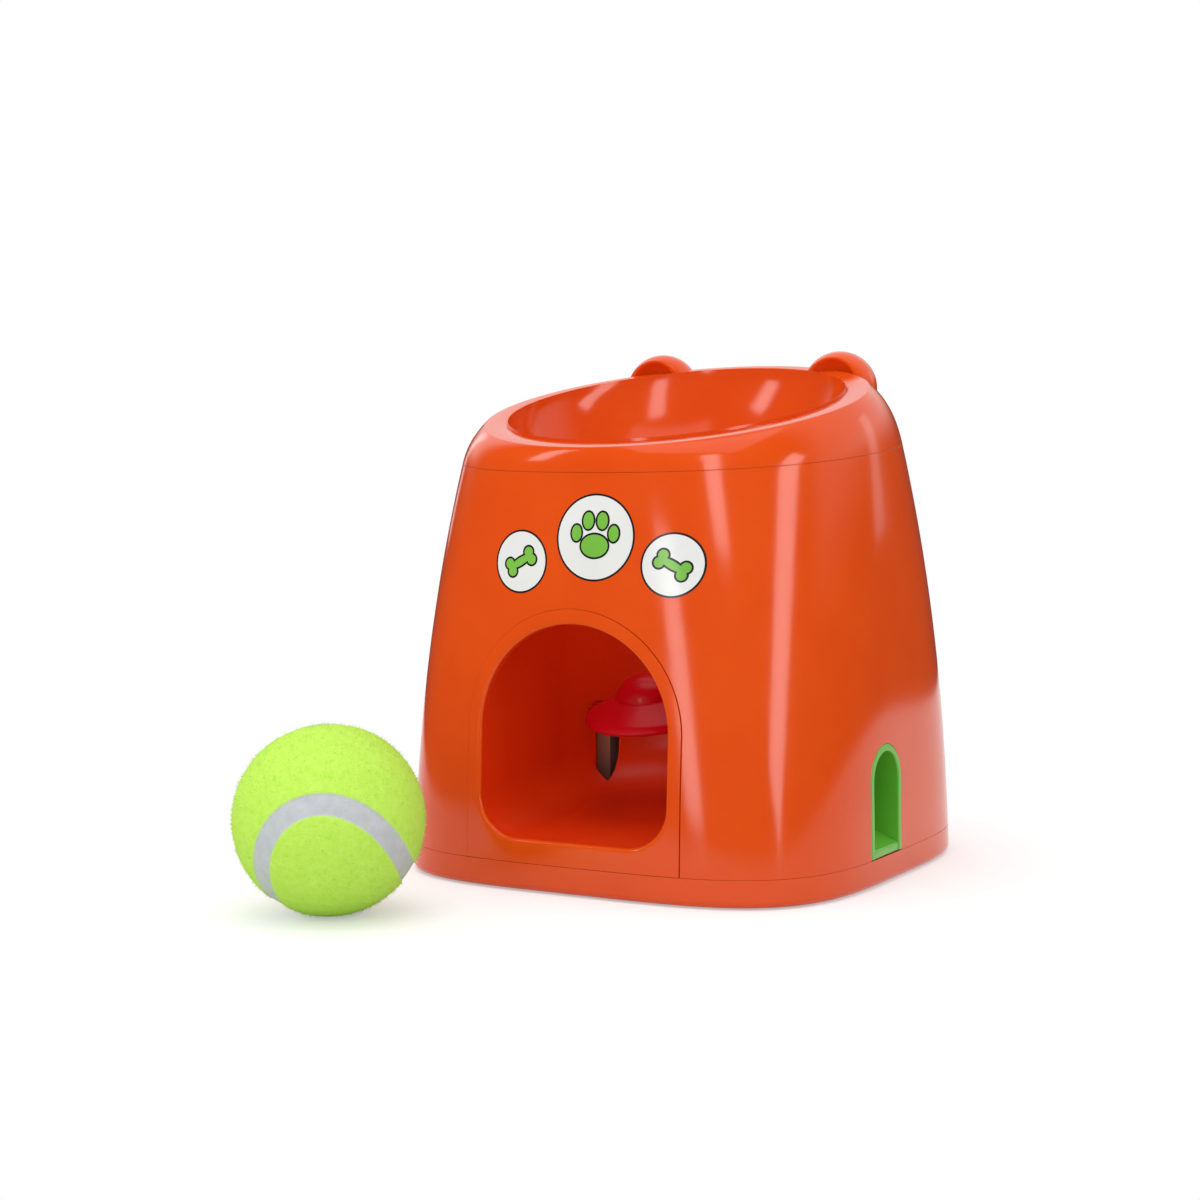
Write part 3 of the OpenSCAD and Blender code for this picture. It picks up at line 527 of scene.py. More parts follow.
def panel_half(f):
    """Half the panel's width: it sits to the left, so a gap opens on its right side."""
    side = math.cos(f) if math.sin(f) >= 0 else math.copysign(1, math.cos(f))
    return PANEL_X - PANEL_OFF * max(0.0, side)


def frame_reach(f):
    half = panel_half(f)
    if math.sin(f) >= 0:
        return half
    return min(half / max(abs(math.cos(f)), 1e-6), (ARCH_Z - PANEL_LOW) / -math.sin(f))


def mouth_reach(f):
    if math.sin(f) >= 0:
        return JAMB
    c, s = abs(math.cos(f)), -math.sin(f)
    kx, kz = JAMB - SILL_R, ARCH_Z - SILL - SILL_R
    side, low = JAMB / max(c, 1e-6), (ARCH_Z - SILL) / s
    if side * s <= kz:
        return side
    if low * c <= kx:
        return low
    along = c * kx + s * kz
    return along + math.sqrt(SILL_R ** 2 - kx ** 2 - kz ** 2 + along ** 2)


def panel_point(f, r, deep):
    x, z = r * math.cos(f), ARCH_Z + r * math.sin(f)
    return Vector((x, -wall_depth(x, z) + deep, z))


left_corner = TURN / 2 + math.atan((ARCH_Z - PANEL_LOW) / panel_half(TURN / 2))
right_corner = TURN - math.atan((ARCH_Z - PANEL_LOW) / panel_half(0))
stretches = [(0, TURN / 2, 90), (TURN / 2, left_corner, 30)]
stretches += [(left_corner, right_corner, 44), (right_corner, TURN, 30)]
panel_turns = [a + (b - a) * i / n for a, b, n in stretches for i in range(n)]


def panel_profile(f):
    """Pairs of a distance from the arch's middle and a depth behind the wall."""
    outer, inner = frame_reach(f), mouth_reach(f)
    flat = [(outer + (inner + LIP_R - outer) * i / FRAME_ROWS, 0) for i in range(FRAME_ROWS)]
    roll = []
    for i in range(LIP_ROWS + 1):
        bend = i / LIP_ROWS * TURN / 4
        roll.append((inner + LIP_R * (1 - math.sin(bend)), LIP_R * (1 - math.cos(bend))))
    behind = [(inner, LIP_END), (inner + PANEL_T, LIP_END), (inner + PANEL_T, PANEL_T)]
    return flat + roll + behind + [(outer, PANEL_T)]


def panel_place(column, row):
    f = panel_turns[column]
    return panel_point(f, *panel_profile(f)[row])


panel_bm, _ = wrapped(len(panel_turns), len(panel_profile(0)), panel_place)
mouth_frame = finished("mouth_frame", panel_bm, orange, "housing", ["mouth_panel"])
even_out(mouth_frame)
# The faces behind the lip's roll take the darker copy of the orange: painted shade inside the mouth.
mouth_frame.data.materials.append(orange_painted_shade)
for face in mouth_frame.data.polygons:
    deep = face.center.y + wall_depth(face.center.x, face.center.z)
    face.material_index = 1 if deep > INNER_FROM else 0
print("mouth frame", len(mouth_frame.data.polygons), "faces")

# %% [markdown]
# ## Bowl
# The top lifts off for filling. It is one moulding: a shoulder that curves up from the seam, a flat
# tilted rim, the bowl, the throat below it, and a skirt that drops inside the body. One closed
# profile is wrapped through all of them. The two edges of the rim are then bevelled, because a
# moulded rim has a small radius that catches the light.

# %% Bowl sizes
RIM_R = 63.5 * MM
RIM_OUT = RIM_R + 8.8 * MM
RIM_DEEP = 5 * MM
RIM_HOLD_OUT = 1.6 * MM
RIM_HOLD_IN = 1.4 * MM
RIM_EDGE_OUT = 1.0 * MM
RIM_EDGE_IN = 0.9 * MM
BOWL_T = 2.6 * MM
THROAT_R = 36 * MM
THROAT_H = RIM_H - 46.7 * MM
THROAT_END = THROAT_H - 8 * MM
BOWL_ROUND = 1.5
SKIRT_H = 4 * MM
SHOULDER_ROWS = 22
SHOULDER_STRAIGHT = 0.72
SLOPE_STEP = 2 * MM
BOWL_ROWS = 24
UNDER_ROWS = 8


def shoulder_point(turn, share, inset=0.0):
    """A curve that leaves the seam along the wall and bends in to the rim."""
    low, high = seam_point(turn, inset, SEAM_GAP), rim_point(turn, RIM_OUT - inset)
    lean = (wall_radius(turn, low.z - SLOPE_STEP) - wall_radius(turn, low.z)) / SLOPE_STEP
    rise = (high.z - low.z) * SHOULDER_STRAIGHT
    middle = low + Vector((-math.cos(turn) * lean, -math.sin(turn) * lean, 1)) * rise
    return low.lerp(middle, share).lerp(middle.lerp(high, share), share)


def throat_point(turn, r, z):
    return Vector((r * math.cos(turn), SHAFT_Y + r * math.sin(turn), z))


def bowl_point(turn, bend, out=0.0):
    high, low = rim_point(turn, RIM_R + out), throat_point(turn, THROAT_R + out, THROAT_H)
    flat = low.lerp(high, math.cos(bend) ** (2 / BOWL_ROUND))
    z = high.z + (low.z - high.z) * math.sin(bend) ** (2 / BOWL_ROUND) - out / 2
    return Vector((flat.x, flat.y, z))


def under_share(turn):
    """Where the hollow under the rim ends."""
    part = 1 - RIM_DEEP / (rim_point(turn, RIM_OUT).z - seam_point(turn).z)
    k = SHOULDER_STRAIGHT
    return (k - math.sqrt(k * k - (2 * k - 1) * part)) / (2 * k - 1)


def bends(rows, first=0):
    return [i / rows * TURN / 4 for i in range(first, rows + 1)]


# %% Bowl profile
def bowl_profile(turn):
    skirt_in = LIP_IN + LIP_T
    points = [shoulder_point(turn, i / SHOULDER_ROWS) for i in range(SHOULDER_ROWS + 1)]
    points += [rim_point(turn, r) for r in (RIM_OUT - RIM_HOLD_OUT, RIM_R + RIM_HOLD_IN)]
    points += [bowl_point(turn, b) for b in bends(BOWL_ROWS)]
    points += [throat_point(turn, r, THROAT_END) for r in (THROAT_R, THROAT_R + BOWL_T)]
    points += [bowl_point(turn, b, BOWL_T) for b in reversed(bends(UNDER_ROWS, 2))]
    points += [shoulder_point(turn, under_share(turn) * i / 4, skirt_in) for i in (4, 3, 2, 1, 0)]
    points += [seam_point(turn, inset, -SKIRT_H) for inset in (skirt_in, LIP_IN)]
    points.append(seam_point(turn, LIP_IN, SEAM_GAP))
    return points


def ring_edges(bm, level, row):
    """The edges that run round the skin in one row."""
    return [e for e in bm.edges if all(level.get(v) == row for v in e.verts)]


bowl_columns = [bowl_profile(i / COLUMNS * TURN) for i in range(COLUMNS)]


def bowl_place(column, row):
    return bowl_columns[column][row]


bowl_bm, bowl_level = wrapped(COLUMNS, len(bowl_columns[0]), bowl_place)
for row, radius in ((SHOULDER_ROWS + 3, RIM_EDGE_IN), (SHOULDER_ROWS, RIM_EDGE_OUT)):
    bmesh.ops.bevel(
        bowl_bm, geom=ring_edges(bowl_bm, bowl_level, row), offset=radius, offset_type="OFFSET", segments=4,
        profile=0.5, affect="EDGES", material=-1, clamp_overlap=True
    )
print("bowl profile", len(bowl_columns[0]), "points")

# %% [markdown]
# ## Ears
# Two round ears stand on the shoulder behind the rim. Each is a ball with a flat front and a hollow
# in it. A Boolean could carve the hollow, but a cut with a plane leaves a clean ring of edges. That
# ring is extruded inwards, ring by ring, along the hollow's curve.

# %% Ears
EAR_R = 14.5 * MM
EAR_X = 39 * MM
EAR_Y = 56 * MM
EAR_Z = RIM_H + 5.9 * MM
EAR_FRONT = EAR_Y - 8 * MM
CUP_R = 12 * MM
CUP_Y = EAR_FRONT - 6.6 * MM
CUP_Z = EAR_Z + 1.4 * MM
CUP_RINGS = 8


def edges_of(made):
    return [g for g in made if isinstance(g, bmesh.types.BMEdge)]


def add_ear(bm, side):
    centre = Vector((side * EAR_X, EAR_Y, EAR_Z))
    turned = Matrix.Translation(centre) @ Matrix.Rotation(TURN / 4, 4, "X")
    ball = bmesh.ops.create_uvsphere(bm, u_segments=64, v_segments=40, radius=EAR_R, matrix=turned)["verts"]
    faces = {f for v in ball for f in v.link_faces}
    edges = {e for v in ball for e in v.link_edges}
    front = Vector((0, EAR_FRONT, 0))
    cut = bmesh.ops.bisect_plane(
        bm, geom=ball + list(edges) + list(faces), plane_co=front, plane_no=(0, -1, 0), clear_outer=True
    )
    ring = edges_of(cut["geom_cut"])
    cup_r = math.sqrt(CUP_R ** 2 - (EAR_FRONT - CUP_Y) ** 2)
    middle = Vector((side * EAR_X, EAR_FRONT, EAR_Z))
    hollow = Vector((side * EAR_X, EAR_FRONT, CUP_Z))
    for i in range(CUP_RINGS + 1):
        ring = edges_of(bmesh.ops.extrude_edge_only(bm, edges=ring)["geom"])
        share = 1 - i / CUP_RINGS
        for v in {v for e in ring for v in e.verts}:
            out = Vector((v.co.x - middle.x, 0, v.co.z - (middle.z if i == 0 else hollow.z))).normalized()
            r = cup_r * share
            depth = math.sqrt(CUP_R ** 2 - r ** 2) - math.sqrt(CUP_R ** 2 - cup_r ** 2)
            v.co = hollow + out * r + Vector((0, depth, 0))


for side in (-1, 1):
    add_ear(bowl_bm, side)
bowl_top = finished("bowl_top", bowl_bm, orange, "funnel", ["funnel_top"], sharp=48)
soften(bowl_top, 0.1 * MM)
print("bowl", len(bowl_top.data.polygons), "faces")

# %% [markdown]
# ## Ball well and ramp
# Behind the mouth the ball falls through a well with a round back, onto a ramp that rolls it out. The
# well is a line of points: straight, half a spin, straight. It is extruded upwards and gets its slot
# for the paddle's arm by cutting along planes, which keeps the rest of its grid as it is. The ramp is
# the same line drawn inwards row by row, with a cove where floor and wall meet.

# %% Line round the well
CHANNEL_R = JAMB + 0.05 * MM
WELL_TOP = THROAT_END - SEAM_GAP - FIT
WELL_GAP = 0.1 * MM
WELL_ROWS = 24
WELL_ARC = 48
WELL_SIDE = 14
WELL_FRONT_TOP = -wall_depth(SHAFT_OUT, WELL_TOP) + WALL + 2 * FIT


def lip_back(across, z):
    """Where the lip of the mouth ends, behind the wall."""
    return -wall_depth(across, z) + LIP_END


def well_front(z):
    if z <= ARCH_Z:
        return lip_back(JAMB, z) + WELL_GAP
    share = (z - ARCH_Z) / (WELL_TOP - ARCH_Z)
    return well_front(ARCH_Z) * (1 - share) + WELL_FRONT_TOP * share


def grown(bm, end):
    """Adds an edge to the end of a line and returns the new end."""
    return bmesh.ops.extrude_vert_indiv(bm, verts=[end])["verts"][0]


def channel_line(bm, radius, front):
    """Straight side, round back and straight side of a channel, as one line of edges."""
    last = bm.verts.new((-radius, front, 0))
    for i in range(WELL_SIDE):
        last = grown(bm, last)
        last.co.y += (SHAFT_Y - front) / WELL_SIDE
    arc = bmesh.ops.spin(
        bm, geom=[last], cent=(0, SHAFT_Y, 0), axis=(0, 0, -1), angle=TURN / 2, steps=WELL_ARC
    )["geom_last"]
    last = points_of(arc)[0]
    for i in range(WELL_SIDE):
        last = grown(bm, last)
        last.co.y += (front - SHAFT_Y) / WELL_SIDE
    return list(bm.edges)


# %% Ball well
SLOT = (-32.2 * MM, -25.8 * MM)
SLOT_Y = -15 * MM
SLOT_Z = (28 * MM, 59.3 * MM)
front = well_front(ARCH_Z)

well_bm = bmesh.new()
line = channel_line(well_bm, CHANNEL_R, front)
bmesh.ops.translate(well_bm, verts=well_bm.verts, vec=(0, 0, FLOOR_TOP))
raised = bmesh.ops.extrude_edge_only(well_bm, edges=line)["geom"]
bmesh.ops.translate(well_bm, verts=points_of(raised), vec=(0, 0, WELL_TOP - FLOOR_TOP))
upright = [e for e in well_bm.edges if abs(e.verts[0].co.z - e.verts[1].co.z) > MM]
bmesh.ops.subdivide_edges(well_bm, edges=upright, cuts=WELL_ROWS)
for v in well_bm.verts:
    if v.co.y < SHAFT_Y:
        v.co.y = SHAFT_Y + (well_front(v.co.z) - SHAFT_Y) * (SHAFT_Y - v.co.y) / (SHAFT_Y - front)


def crisp_rim(piece):
    """Keeps the shading of a thin skin from bleeding over its rim when it is thickened."""
    uses = [0] * len(piece.data.edges)
    for loop in piece.data.loops:
        uses[loop.edge_index] += 1
    for edge, count in zip(piece.data.edges, uses):
        if count == 1:
            edge.use_edge_sharp = True


def in_slot(co):
    return SLOT[0] < co.x < SLOT[1] and SLOT_Z[0] < co.z < SLOT_Z[1] and co.y > SLOT_Y


def cut_slot(bm):
    """Cuts the skin along the slot's planes and takes out what lies between them."""
    for axis, cuts in ((0, SLOT), (1, [SLOT_Y]), (2, SLOT_Z)):
        for cut in cuts:
            spot, normal = Vector((0, 0, 0)), Vector((0, 0, 0))
            spot[axis], normal[axis] = cut, 1
            every = bm.verts[:] + bm.edges[:] + bm.faces[:]
            bmesh.ops.bisect_plane(bm, geom=every, plane_co=spot, plane_no=normal)
    bmesh.ops.delete(bm, geom=[f for f in bm.faces if in_slot(f.calc_center_median())], context="FACES")


cut_slot(well_bm)
# The well's walls take the darker copy of the orange: painted shade inside the mouth.
ball_well = finished(
    "ball_well", well_bm, orange_painted_shade, "housing", ["ball_shaft"], sharp=60
)
crisp_rim(ball_well)
thicken(ball_well, SHAFT_OUT - CHANNEL_R, outward=True)
even_out(ball_well)
print("ball well", len(ball_well.data.polygons), "faces")

# %% Feet and bosses of the well
FOOT_H = 10 * MM
WEB_T = 6 * MM
TAB_BOSS = 1.5 * MM
TAB_Z = THROAT_END - 10 * MM
tab_places = [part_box("hopper_screws")[i].y + side for i, side in ((0, HEAD_R), (1, -HEAD_R))]

feet_bm = bmesh.new()
for x, y in shaft_feet:
    add_drum(feet_bm, x, y, FLOOR_TOP, FLOOR_TOP + FOOT_H, BOSS_R)
    inward = Vector((-math.copysign(BOSS_R, x) if x else 0, 0 if x else -BOSS_R, 0)) / 2
    size = Vector((WEB_T if not x else BOSS_R, WEB_T if x else BOSS_R, FOOT_H))
    middle = Vector((x, y, FLOOR_TOP + FOOT_H / 2)) + inward
    web = Matrix.Translation(middle) @ Matrix.Diagonal(size).to_4x4()
    bmesh.ops.create_cube(feet_bm, size=1, matrix=web)
for y in tab_places:
    middle = Vector((SHAFT_OUT + TAB_BOSS / 2, y, TAB_Z))
    bmesh.ops.create_cone(
        feet_bm, cap_ends=True, segments=32, radius1=BOSS_R, radius2=BOSS_R, depth=TAB_BOSS,
        matrix=Matrix.Translation(middle) @ Matrix.Rotation(TURN / 4, 4, "Y")
    )
well_feet = finished("well_feet", feet_bm, orange, "housing")
soften(well_feet, 0.4 * MM)
print("well feet", len(well_feet.data.polygons), "faces")

# %% Ramp
RAMP_FALL = math.tan(math.radians(6.2))
RAMP_R = CHANNEL_R - 0.02 * MM
RAMP_FRONT = lip_back(0, SILL)
RAMP_T = 2.6 * MM
RAMP_DROP = 0.05 * MM
RAMP_TUCK = 0.3 * MM
COVE_WALL = 0.8 * MM
COVE_ROWS = 16
FLAT_ROWS = 5


def ramp_point(x, y, row):
    cove = SILL_R
    if row == 0:
        drawn, lift = 0.0, cove + COVE_WALL
    elif row <= COVE_ROWS + 1:
        bend = (row - 1) / COVE_ROWS * TURN / 4
        drawn, lift = cove * (1 - math.cos(bend)), cove * (1 - math.sin(bend))
    else:
        drawn, lift = cove + (RAMP_R - cove) * (row - 1 - COVE_ROWS) / FLAT_ROWS, 0.0
    share = 1 - drawn / RAMP_R
    if y > SHAFT_Y:
        y = SHAFT_Y + (y - SHAFT_Y) * share
    x *= share
    if y < SHAFT_Y:
        ahead = lip_back(x, SILL + lift) - RAMP_TUCK
        y = SHAFT_Y + (ahead - SHAFT_Y) * (SHAFT_Y - y) / (SHAFT_Y - RAMP_FRONT)
    return Vector((x, y, SILL - RAMP_DROP + (y - RAMP_FRONT) * RAMP_FALL + lift))


ramp_bm = bmesh.new()
line = channel_line(ramp_bm, RAMP_R, RAMP_FRONT)
for row in range(1 + COVE_ROWS + FLAT_ROWS):
    made = bmesh.ops.extrude_edge_only(ramp_bm, edges=line)["geom"]
    line = edges_of(made)
    bmesh.ops.translate(ramp_bm, verts=points_of(made), vec=(0, 0, 1))
for v in ramp_bm.verts:
    v.co = ramp_point(v.co.x, v.co.y, round(v.co.z))
cut_slot(ramp_bm)
# The ramp takes the darker copy of the orange too: painted shade inside the mouth.
ball_slide = finished(
    "ball_slide", ramp_bm, orange_painted_shade, "housing", ["ball_ramp"], sharp=60
)
if ball_slide.data.polygons[-1].normal.z < 0:
    ball_slide.data.flip_normals()
crisp_rim(ball_slide)
thicken(ball_slide, RAMP_T)
print("ramp", len(ball_slide.data.polygons), "faces")

# %% Ribs under the ramp
RIB_X = 22 * MM
RIB_IN = 2 * MM
RIB_REACH = 0.78
rib_front, rib_back = RAMP_FRONT + RIB_IN, SHAFT_Y + RIB_REACH * SHAFT_R


def add_slab(bm, outline, way):
    """A solid: the face with this outline, pushed along a way."""
    face = bm.faces.new([bm.verts.new(p) for p in outline])
    made = bmesh.ops.extrude_face_region(bm, geom=[face])["geom"]
    bmesh.ops.translate(bm, verts=points_of(made), vec=way)


ribs_bm = bmesh.new()
for x in (-RIB_X, 0, RIB_X):
    tall = [SILL - RAMP_T / 2 + (y - RAMP_FRONT) * RAMP_FALL for y in (rib_front, rib_back)]
    outline = [(rib_front, FLOOR_TOP), (rib_front, tall[0]), (rib_back, tall[1]), (rib_back, FLOOR_TOP)]
    add_slab(ribs_bm, [(x - RAMP_T / 2, y, z) for y, z in outline], (RAMP_T, 0, 0))
ramp_ribs = finished("ramp_ribs", ribs_bm, orange, "housing")
soften(ramp_ribs, 0.3 * MM)
print("ribs", len(ramp_ribs.data.polygons), "faces")

# %% [markdown]
# ## Treat chute
# Treats slide out of a green arched tunnel with a sloping floor. Its end is flush with the curved
# wall. A Boolean with the wall could trim it, but it is simpler to extrude the arch and then move its
# rim onto the wall. The trough's floor and walls reach a little into each other, because solids that
# only touch are merged at their corners, where a bevel tears.

# %% Chute tunnel
CHUTE_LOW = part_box("treat_chute")[0].z + 7.1 * MM
CHUTE_T = 2.6 * MM
CHUTE_PROUD = 0.25 * MM
TUNNEL_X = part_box("treat_chute")[1].x - 22.7 * MM
TROUGH_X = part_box("treat_chute")[0].x
CHUTE_FALL = math.tan(math.radians(25))
CHUTE_EXIT = CHUTE_LOW + 2.9 * MM
BACK_TOP = 36 * MM
CHUTE_LAP = 0.2 * MM
CHUTE_ARC = 32


def arch_line(bm, half, low, x):
    """Upright, half round and upright, in a plane across X."""
    foot = bm.verts.new((x, CHUTE_Y - half, low))
    knee = grown(bm, foot)
    knee.co.z = CHUTE_ARCH_Z
    arc = bmesh.ops.spin(
        bm, geom=[knee], cent=(x, CHUTE_Y, CHUTE_ARCH_Z), axis=(-1, 0, 0), angle=TURN / 2, steps=CHUTE_ARC
    )["geom_last"]
    end = grown(bm, points_of(arc)[0])
    end.co.z = low
    return foot, end


chute_bm = bmesh.new()
outer_foot, outer_end = arch_line(chute_bm, CHUTE_HALF, CHUTE_LOW, TUNNEL_X)
inner_foot, inner_end = arch_line(chute_bm, CHUTE_HALF - CHUTE_T, CHUTE_LOW, TUNNEL_X)
chute_bm.edges.new((outer_foot, inner_foot))
chute_bm.edges.new((outer_end, inner_end))
bmesh.ops.triangle_fill(chute_bm, edges=chute_bm.edges[:], use_beauty=True)
bmesh.ops.dissolve_limit(chute_bm, angle_limit=0.01, verts=chute_bm.verts, edges=chute_bm.edges)
made = bmesh.ops.extrude_face_region(chute_bm, geom=chute_bm.faces[:])["geom"]
for v in points_of(made):
    v.co.x = wall_depth(v.co.y, v.co.z) + CHUTE_PROUD
print("chute tunnel", len(chute_bm.faces), "faces")


# %% Chute floor and trough
def add_wall(outline, y0, y1):
    add_slab(chute_bm, [(x, y0, z) for x, z in outline], (0, y1 - y0, 0))


def upright_line(x, top):
    """The outline of an upright wall, from the back of the trough to x."""
    return [(TROUGH_X, CHUTE_LOW), (x, CHUTE_LOW), (x, top), (TROUGH_X, top)]


chute_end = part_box("treat_chute")[1].x
rise = (chute_end - TROUGH_X) * CHUTE_FALL
inner = CHUTE_HALF - CHUTE_T
floor_line = [(TROUGH_X, CHUTE_LOW), (chute_end, CHUTE_LOW)]
floor_line += [(chute_end, CHUTE_EXIT), (TROUGH_X, CHUTE_EXIT + rise)]
floor_half = inner + CHUTE_LAP
back_half = floor_half + CHUTE_LAP
add_wall(floor_line, CHUTE_Y - floor_half, CHUTE_Y + floor_half)
for y0, y1 in ((CHUTE_Y - CHUTE_HALF, CHUTE_Y - inner), (CHUTE_Y + inner, CHUTE_Y + CHUTE_HALF)):
    add_wall(upright_line(TUNNEL_X + CHUTE_LAP, CHUTE_ARCH_Z), y0, y1)
add_wall(upright_line(TROUGH_X + CHUTE_T / 2, BACK_TOP), CHUTE_Y - back_half, CHUTE_Y + back_half)
add_drum(chute_bm, *chute_foot[0], FLOOR_TOP, CHUTE_LOW, BOSS_R)
treat_outlet = finished("treat_outlet", chute_bm, green, "housing", ["treat_chute"])
soften(treat_outlet, 0.5 * MM, segments=3)
print("chute", len(treat_outlet.data.polygons), "faces")

# %% [markdown]
# ## Paddle
# The red paddle catches the ball. It has the shape of a hat: a sloping brim, a small ledge and a
# domed crown. One profile is spun, which keeps it truly round, and is then tilted to the front.

# %% Paddle
PADDLE_PLACE = Vector((3.5 * MM, -36.5 * MM, 60 * MM))
PADDLE_TILT = math.radians(12)
BRIM_R = 23.6 * MM
BRIM_T = 2.2 * MM
CROWN_R = 11.2 * MM
CROWN_H = 14 * MM
CONE_H = 6 * MM
LEDGE = 1 * MM
DOME_ROWS = 14
PADDLE_COLUMNS = 96

hat = [(0, -BRIM_T), (8 * MM, -BRIM_T), (BRIM_R - 0.8 * MM, -BRIM_T), (BRIM_R, -BRIM_T / 2)]
hat += [(BRIM_R - 0.5 * MM, 0.2 * MM), (BRIM_R - 2 * MM, 1.4 * MM), (CROWN_R + LEDGE, CONE_H)]
hat += [(CROWN_R * math.cos(b), CONE_H + (CROWN_H - CONE_H) * math.sin(b)) for b in bends(DOME_ROWS)]


def hat_place(column, row):
    r, z = hat[row]
    t = column / PADDLE_COLUMNS * TURN
    return Vector((r * math.cos(t), r * math.sin(t), z))


paddle_bm, _ = wrapped(PADDLE_COLUMNS, len(hat), hat_place, closed=False)
paddle_turn = Matrix.Translation(PADDLE_PLACE) @ Matrix.Rotation(PADDLE_TILT, 4, "X")
bmesh.ops.transform(paddle_bm, matrix=paddle_turn, verts=paddle_bm.verts)
paddle_hat = finished("paddle_hat", paddle_bm, red, "lever", ["strike_paddle"], sharp=40)
soften(paddle_hat, 0.35 * MM, segments=3, limit=35)
print("paddle", len(paddle_hat.data.polygons), "faces")

# %% [markdown]
# ## Felt ball
# The ball is napped felt over rubber, with a smooth grey seam that winds round it as on a tennis
# ball. The seam is a closed curve on the sphere. Each point of a fine sphere learns how far it lies
# from that curve: near it the surface sinks into a groove, and a stored value tells the material
# where the seam is.

# %% Seam of the ball
BALL_R = 32.5 * MM
BALL_PLACE = Vector([sum(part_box("ball_felt")[i][k] for i in (0, 1)) / 2 for k in range(3)])
SEAM_W = 7.4 * MM
SEAM_DEEP = 0.45 * MM
SEAM_SOFT = 0.5 * MM
SEAM_WAVE = 0.198
SEAM_STEPS = 720
seam_turn = (
    Matrix.Rotation(math.radians(72.1), 3, "Z")
    @ Matrix.Rotation(math.radians(-35.5), 3, "Y")
    @ Matrix.Rotation(math.radians(14.5), 3, "X")
)


def seam_direction(t):
    a, b = 1 - SEAM_WAVE, SEAM_WAVE
    return seam_turn @ Vector((
        a * math.cos(t) + b * math.cos(3 * t),
        a * math.sin(t) - b * math.sin(3 * t),
        2 * math.sqrt(a * b) * math.sin(2 * t)
    ))


seam_tree = KDTree(SEAM_STEPS)
for i in range(SEAM_STEPS):
    seam_tree.insert(seam_direction(i / SEAM_STEPS * TURN).normalized() * BALL_R, i)
seam_tree.balance()


def seam_share(direction):
    """One in the middle of the seam, falling to zero at its edges."""
    away = seam_tree.find(direction * BALL_R)[2]
    return min(1.0, max(0.0, (SEAM_W / 2 - away) / SEAM_SOFT + 0.5))


# %% Felt material
def felt_finish():
    material, shader, tree = new_finish("ball_felt")
    seam = add_node(tree, "Attribute", attribute_name="seam").outputs["Fac"]
    nap = blend_colours(tree, noise_on(tree, 420, 6), srgb(198, 249, 90), srgb(210, 253, 106))
    groove = blend_colours(tree, noise_on(tree, 300, 4), srgb(198, 202, 208), srgb(210, 214, 219))
    mix = add_node(tree, "Mix", {"Factor": seam, "A": nap, "B": groove}, data_type="RGBA")
    fill(tree, shader, {
        "Base Color": mix.outputs["Result"],
        "Normal": bump_on(tree, noise_on(tree, 1500, 4), 0.5, 0.3 * MM),
        "Roughness": 0.95, "Specular IOR Level": 0.1,
        "Sheen Weight": 0.35, "Sheen Roughness": 0.5, "Sheen Tint": srgb(214, 255, 120)
    })
    return material


felt = felt_finish()
print("felt with", len(felt.node_tree.nodes), "nodes")

# %% Felt cover
ball_bm = bmesh.new()
bmesh.ops.create_icosphere(ball_bm, subdivisions=7, radius=BALL_R)
seam_layer = ball_bm.verts.layers.float.new("seam")
for v in ball_bm.verts:
    direction = v.co.normalized()
    v[seam_layer] = seam_share(direction)
    v.co = direction * (BALL_R - SEAM_DEEP * v[seam_layer])
bmesh.ops.translate(ball_bm, verts=ball_bm.verts, vec=BALL_PLACE)
felt_cover = finished("felt_cover", ball_bm, felt, "ball", ["ball_felt"], sharp=180)
print("felt cover", len(felt_cover.data.polygons), "faces")

# %% [markdown]
# ## Nap
# The edge of a felt ball is soft because short fibres stand up from it. Nine thousand thin spikes do
# that, each placed and leaned by a seeded random draw. None grows from the seam or reaches below the
# floor.

# %% Nap fibres
FIBRES = 9000
FIBRE_LONG = (0.8 * MM, 1.7 * MM)
FIBRE_R = 0.07 * MM
FIBRE_STRAY = 0.9
FIBRE_SINK = 0.2 * MM
FLOOR_CLEAR = 0.1 * MM
draw = random.Random(11)


def add_fibre(bm, root, lean, length):
    """A thin spike with three sides."""
    side = lean.orthogonal().normalized() * FIBRE_R
    tip = bm.verts.new(root + lean * length)
    foot = [bm.verts.new(root + Matrix.Rotation(i * TURN / 3, 3, lean) @ side) for i in range(3)]
    for i in range(3):
        bm.faces.new((foot[i], foot[(i + 1) % 3], tip))


nap_bm = bmesh.new()
while len(nap_bm.verts) < FIBRES * 4:
    direction = Vector([draw.gauss(0, 1) for axis in range(3)]).normalized()
    stray = Vector([draw.uniform(-1, 1) for axis in range(3)])
    lean = (direction + FIBRE_STRAY * stray).normalized()
    length = draw.uniform(*FIBRE_LONG)
    root = BALL_PLACE + direction * (BALL_R - FIBRE_SINK)
    if seam_share(direction) == 0 and root.z + lean.z * length > FLOOR_CLEAR:
        add_fibre(nap_bm, root, lean, length)
nap = finished("felt_nap", nap_bm, felt, "ball", sharp=180)
print("nap", len(nap.data.polygons), "faces")

# %% [markdown]
# ## Printed badges
# The front is printed with round badges: a paw in the middle and a bone on each side, in green and
# black on white. Each colour is a thin layer. A layer is made of ovals, and each oval is a shallow
# lens that follows the curved wall and ends inside it, so no edge hangs loose.

# %% Ovals on the wall
PRINT_COLUMNS = 56
PRINT_ROWS = (0, 0.35, 0.7, 0.9, 1)
PRINT_SINK = -0.2 * MM


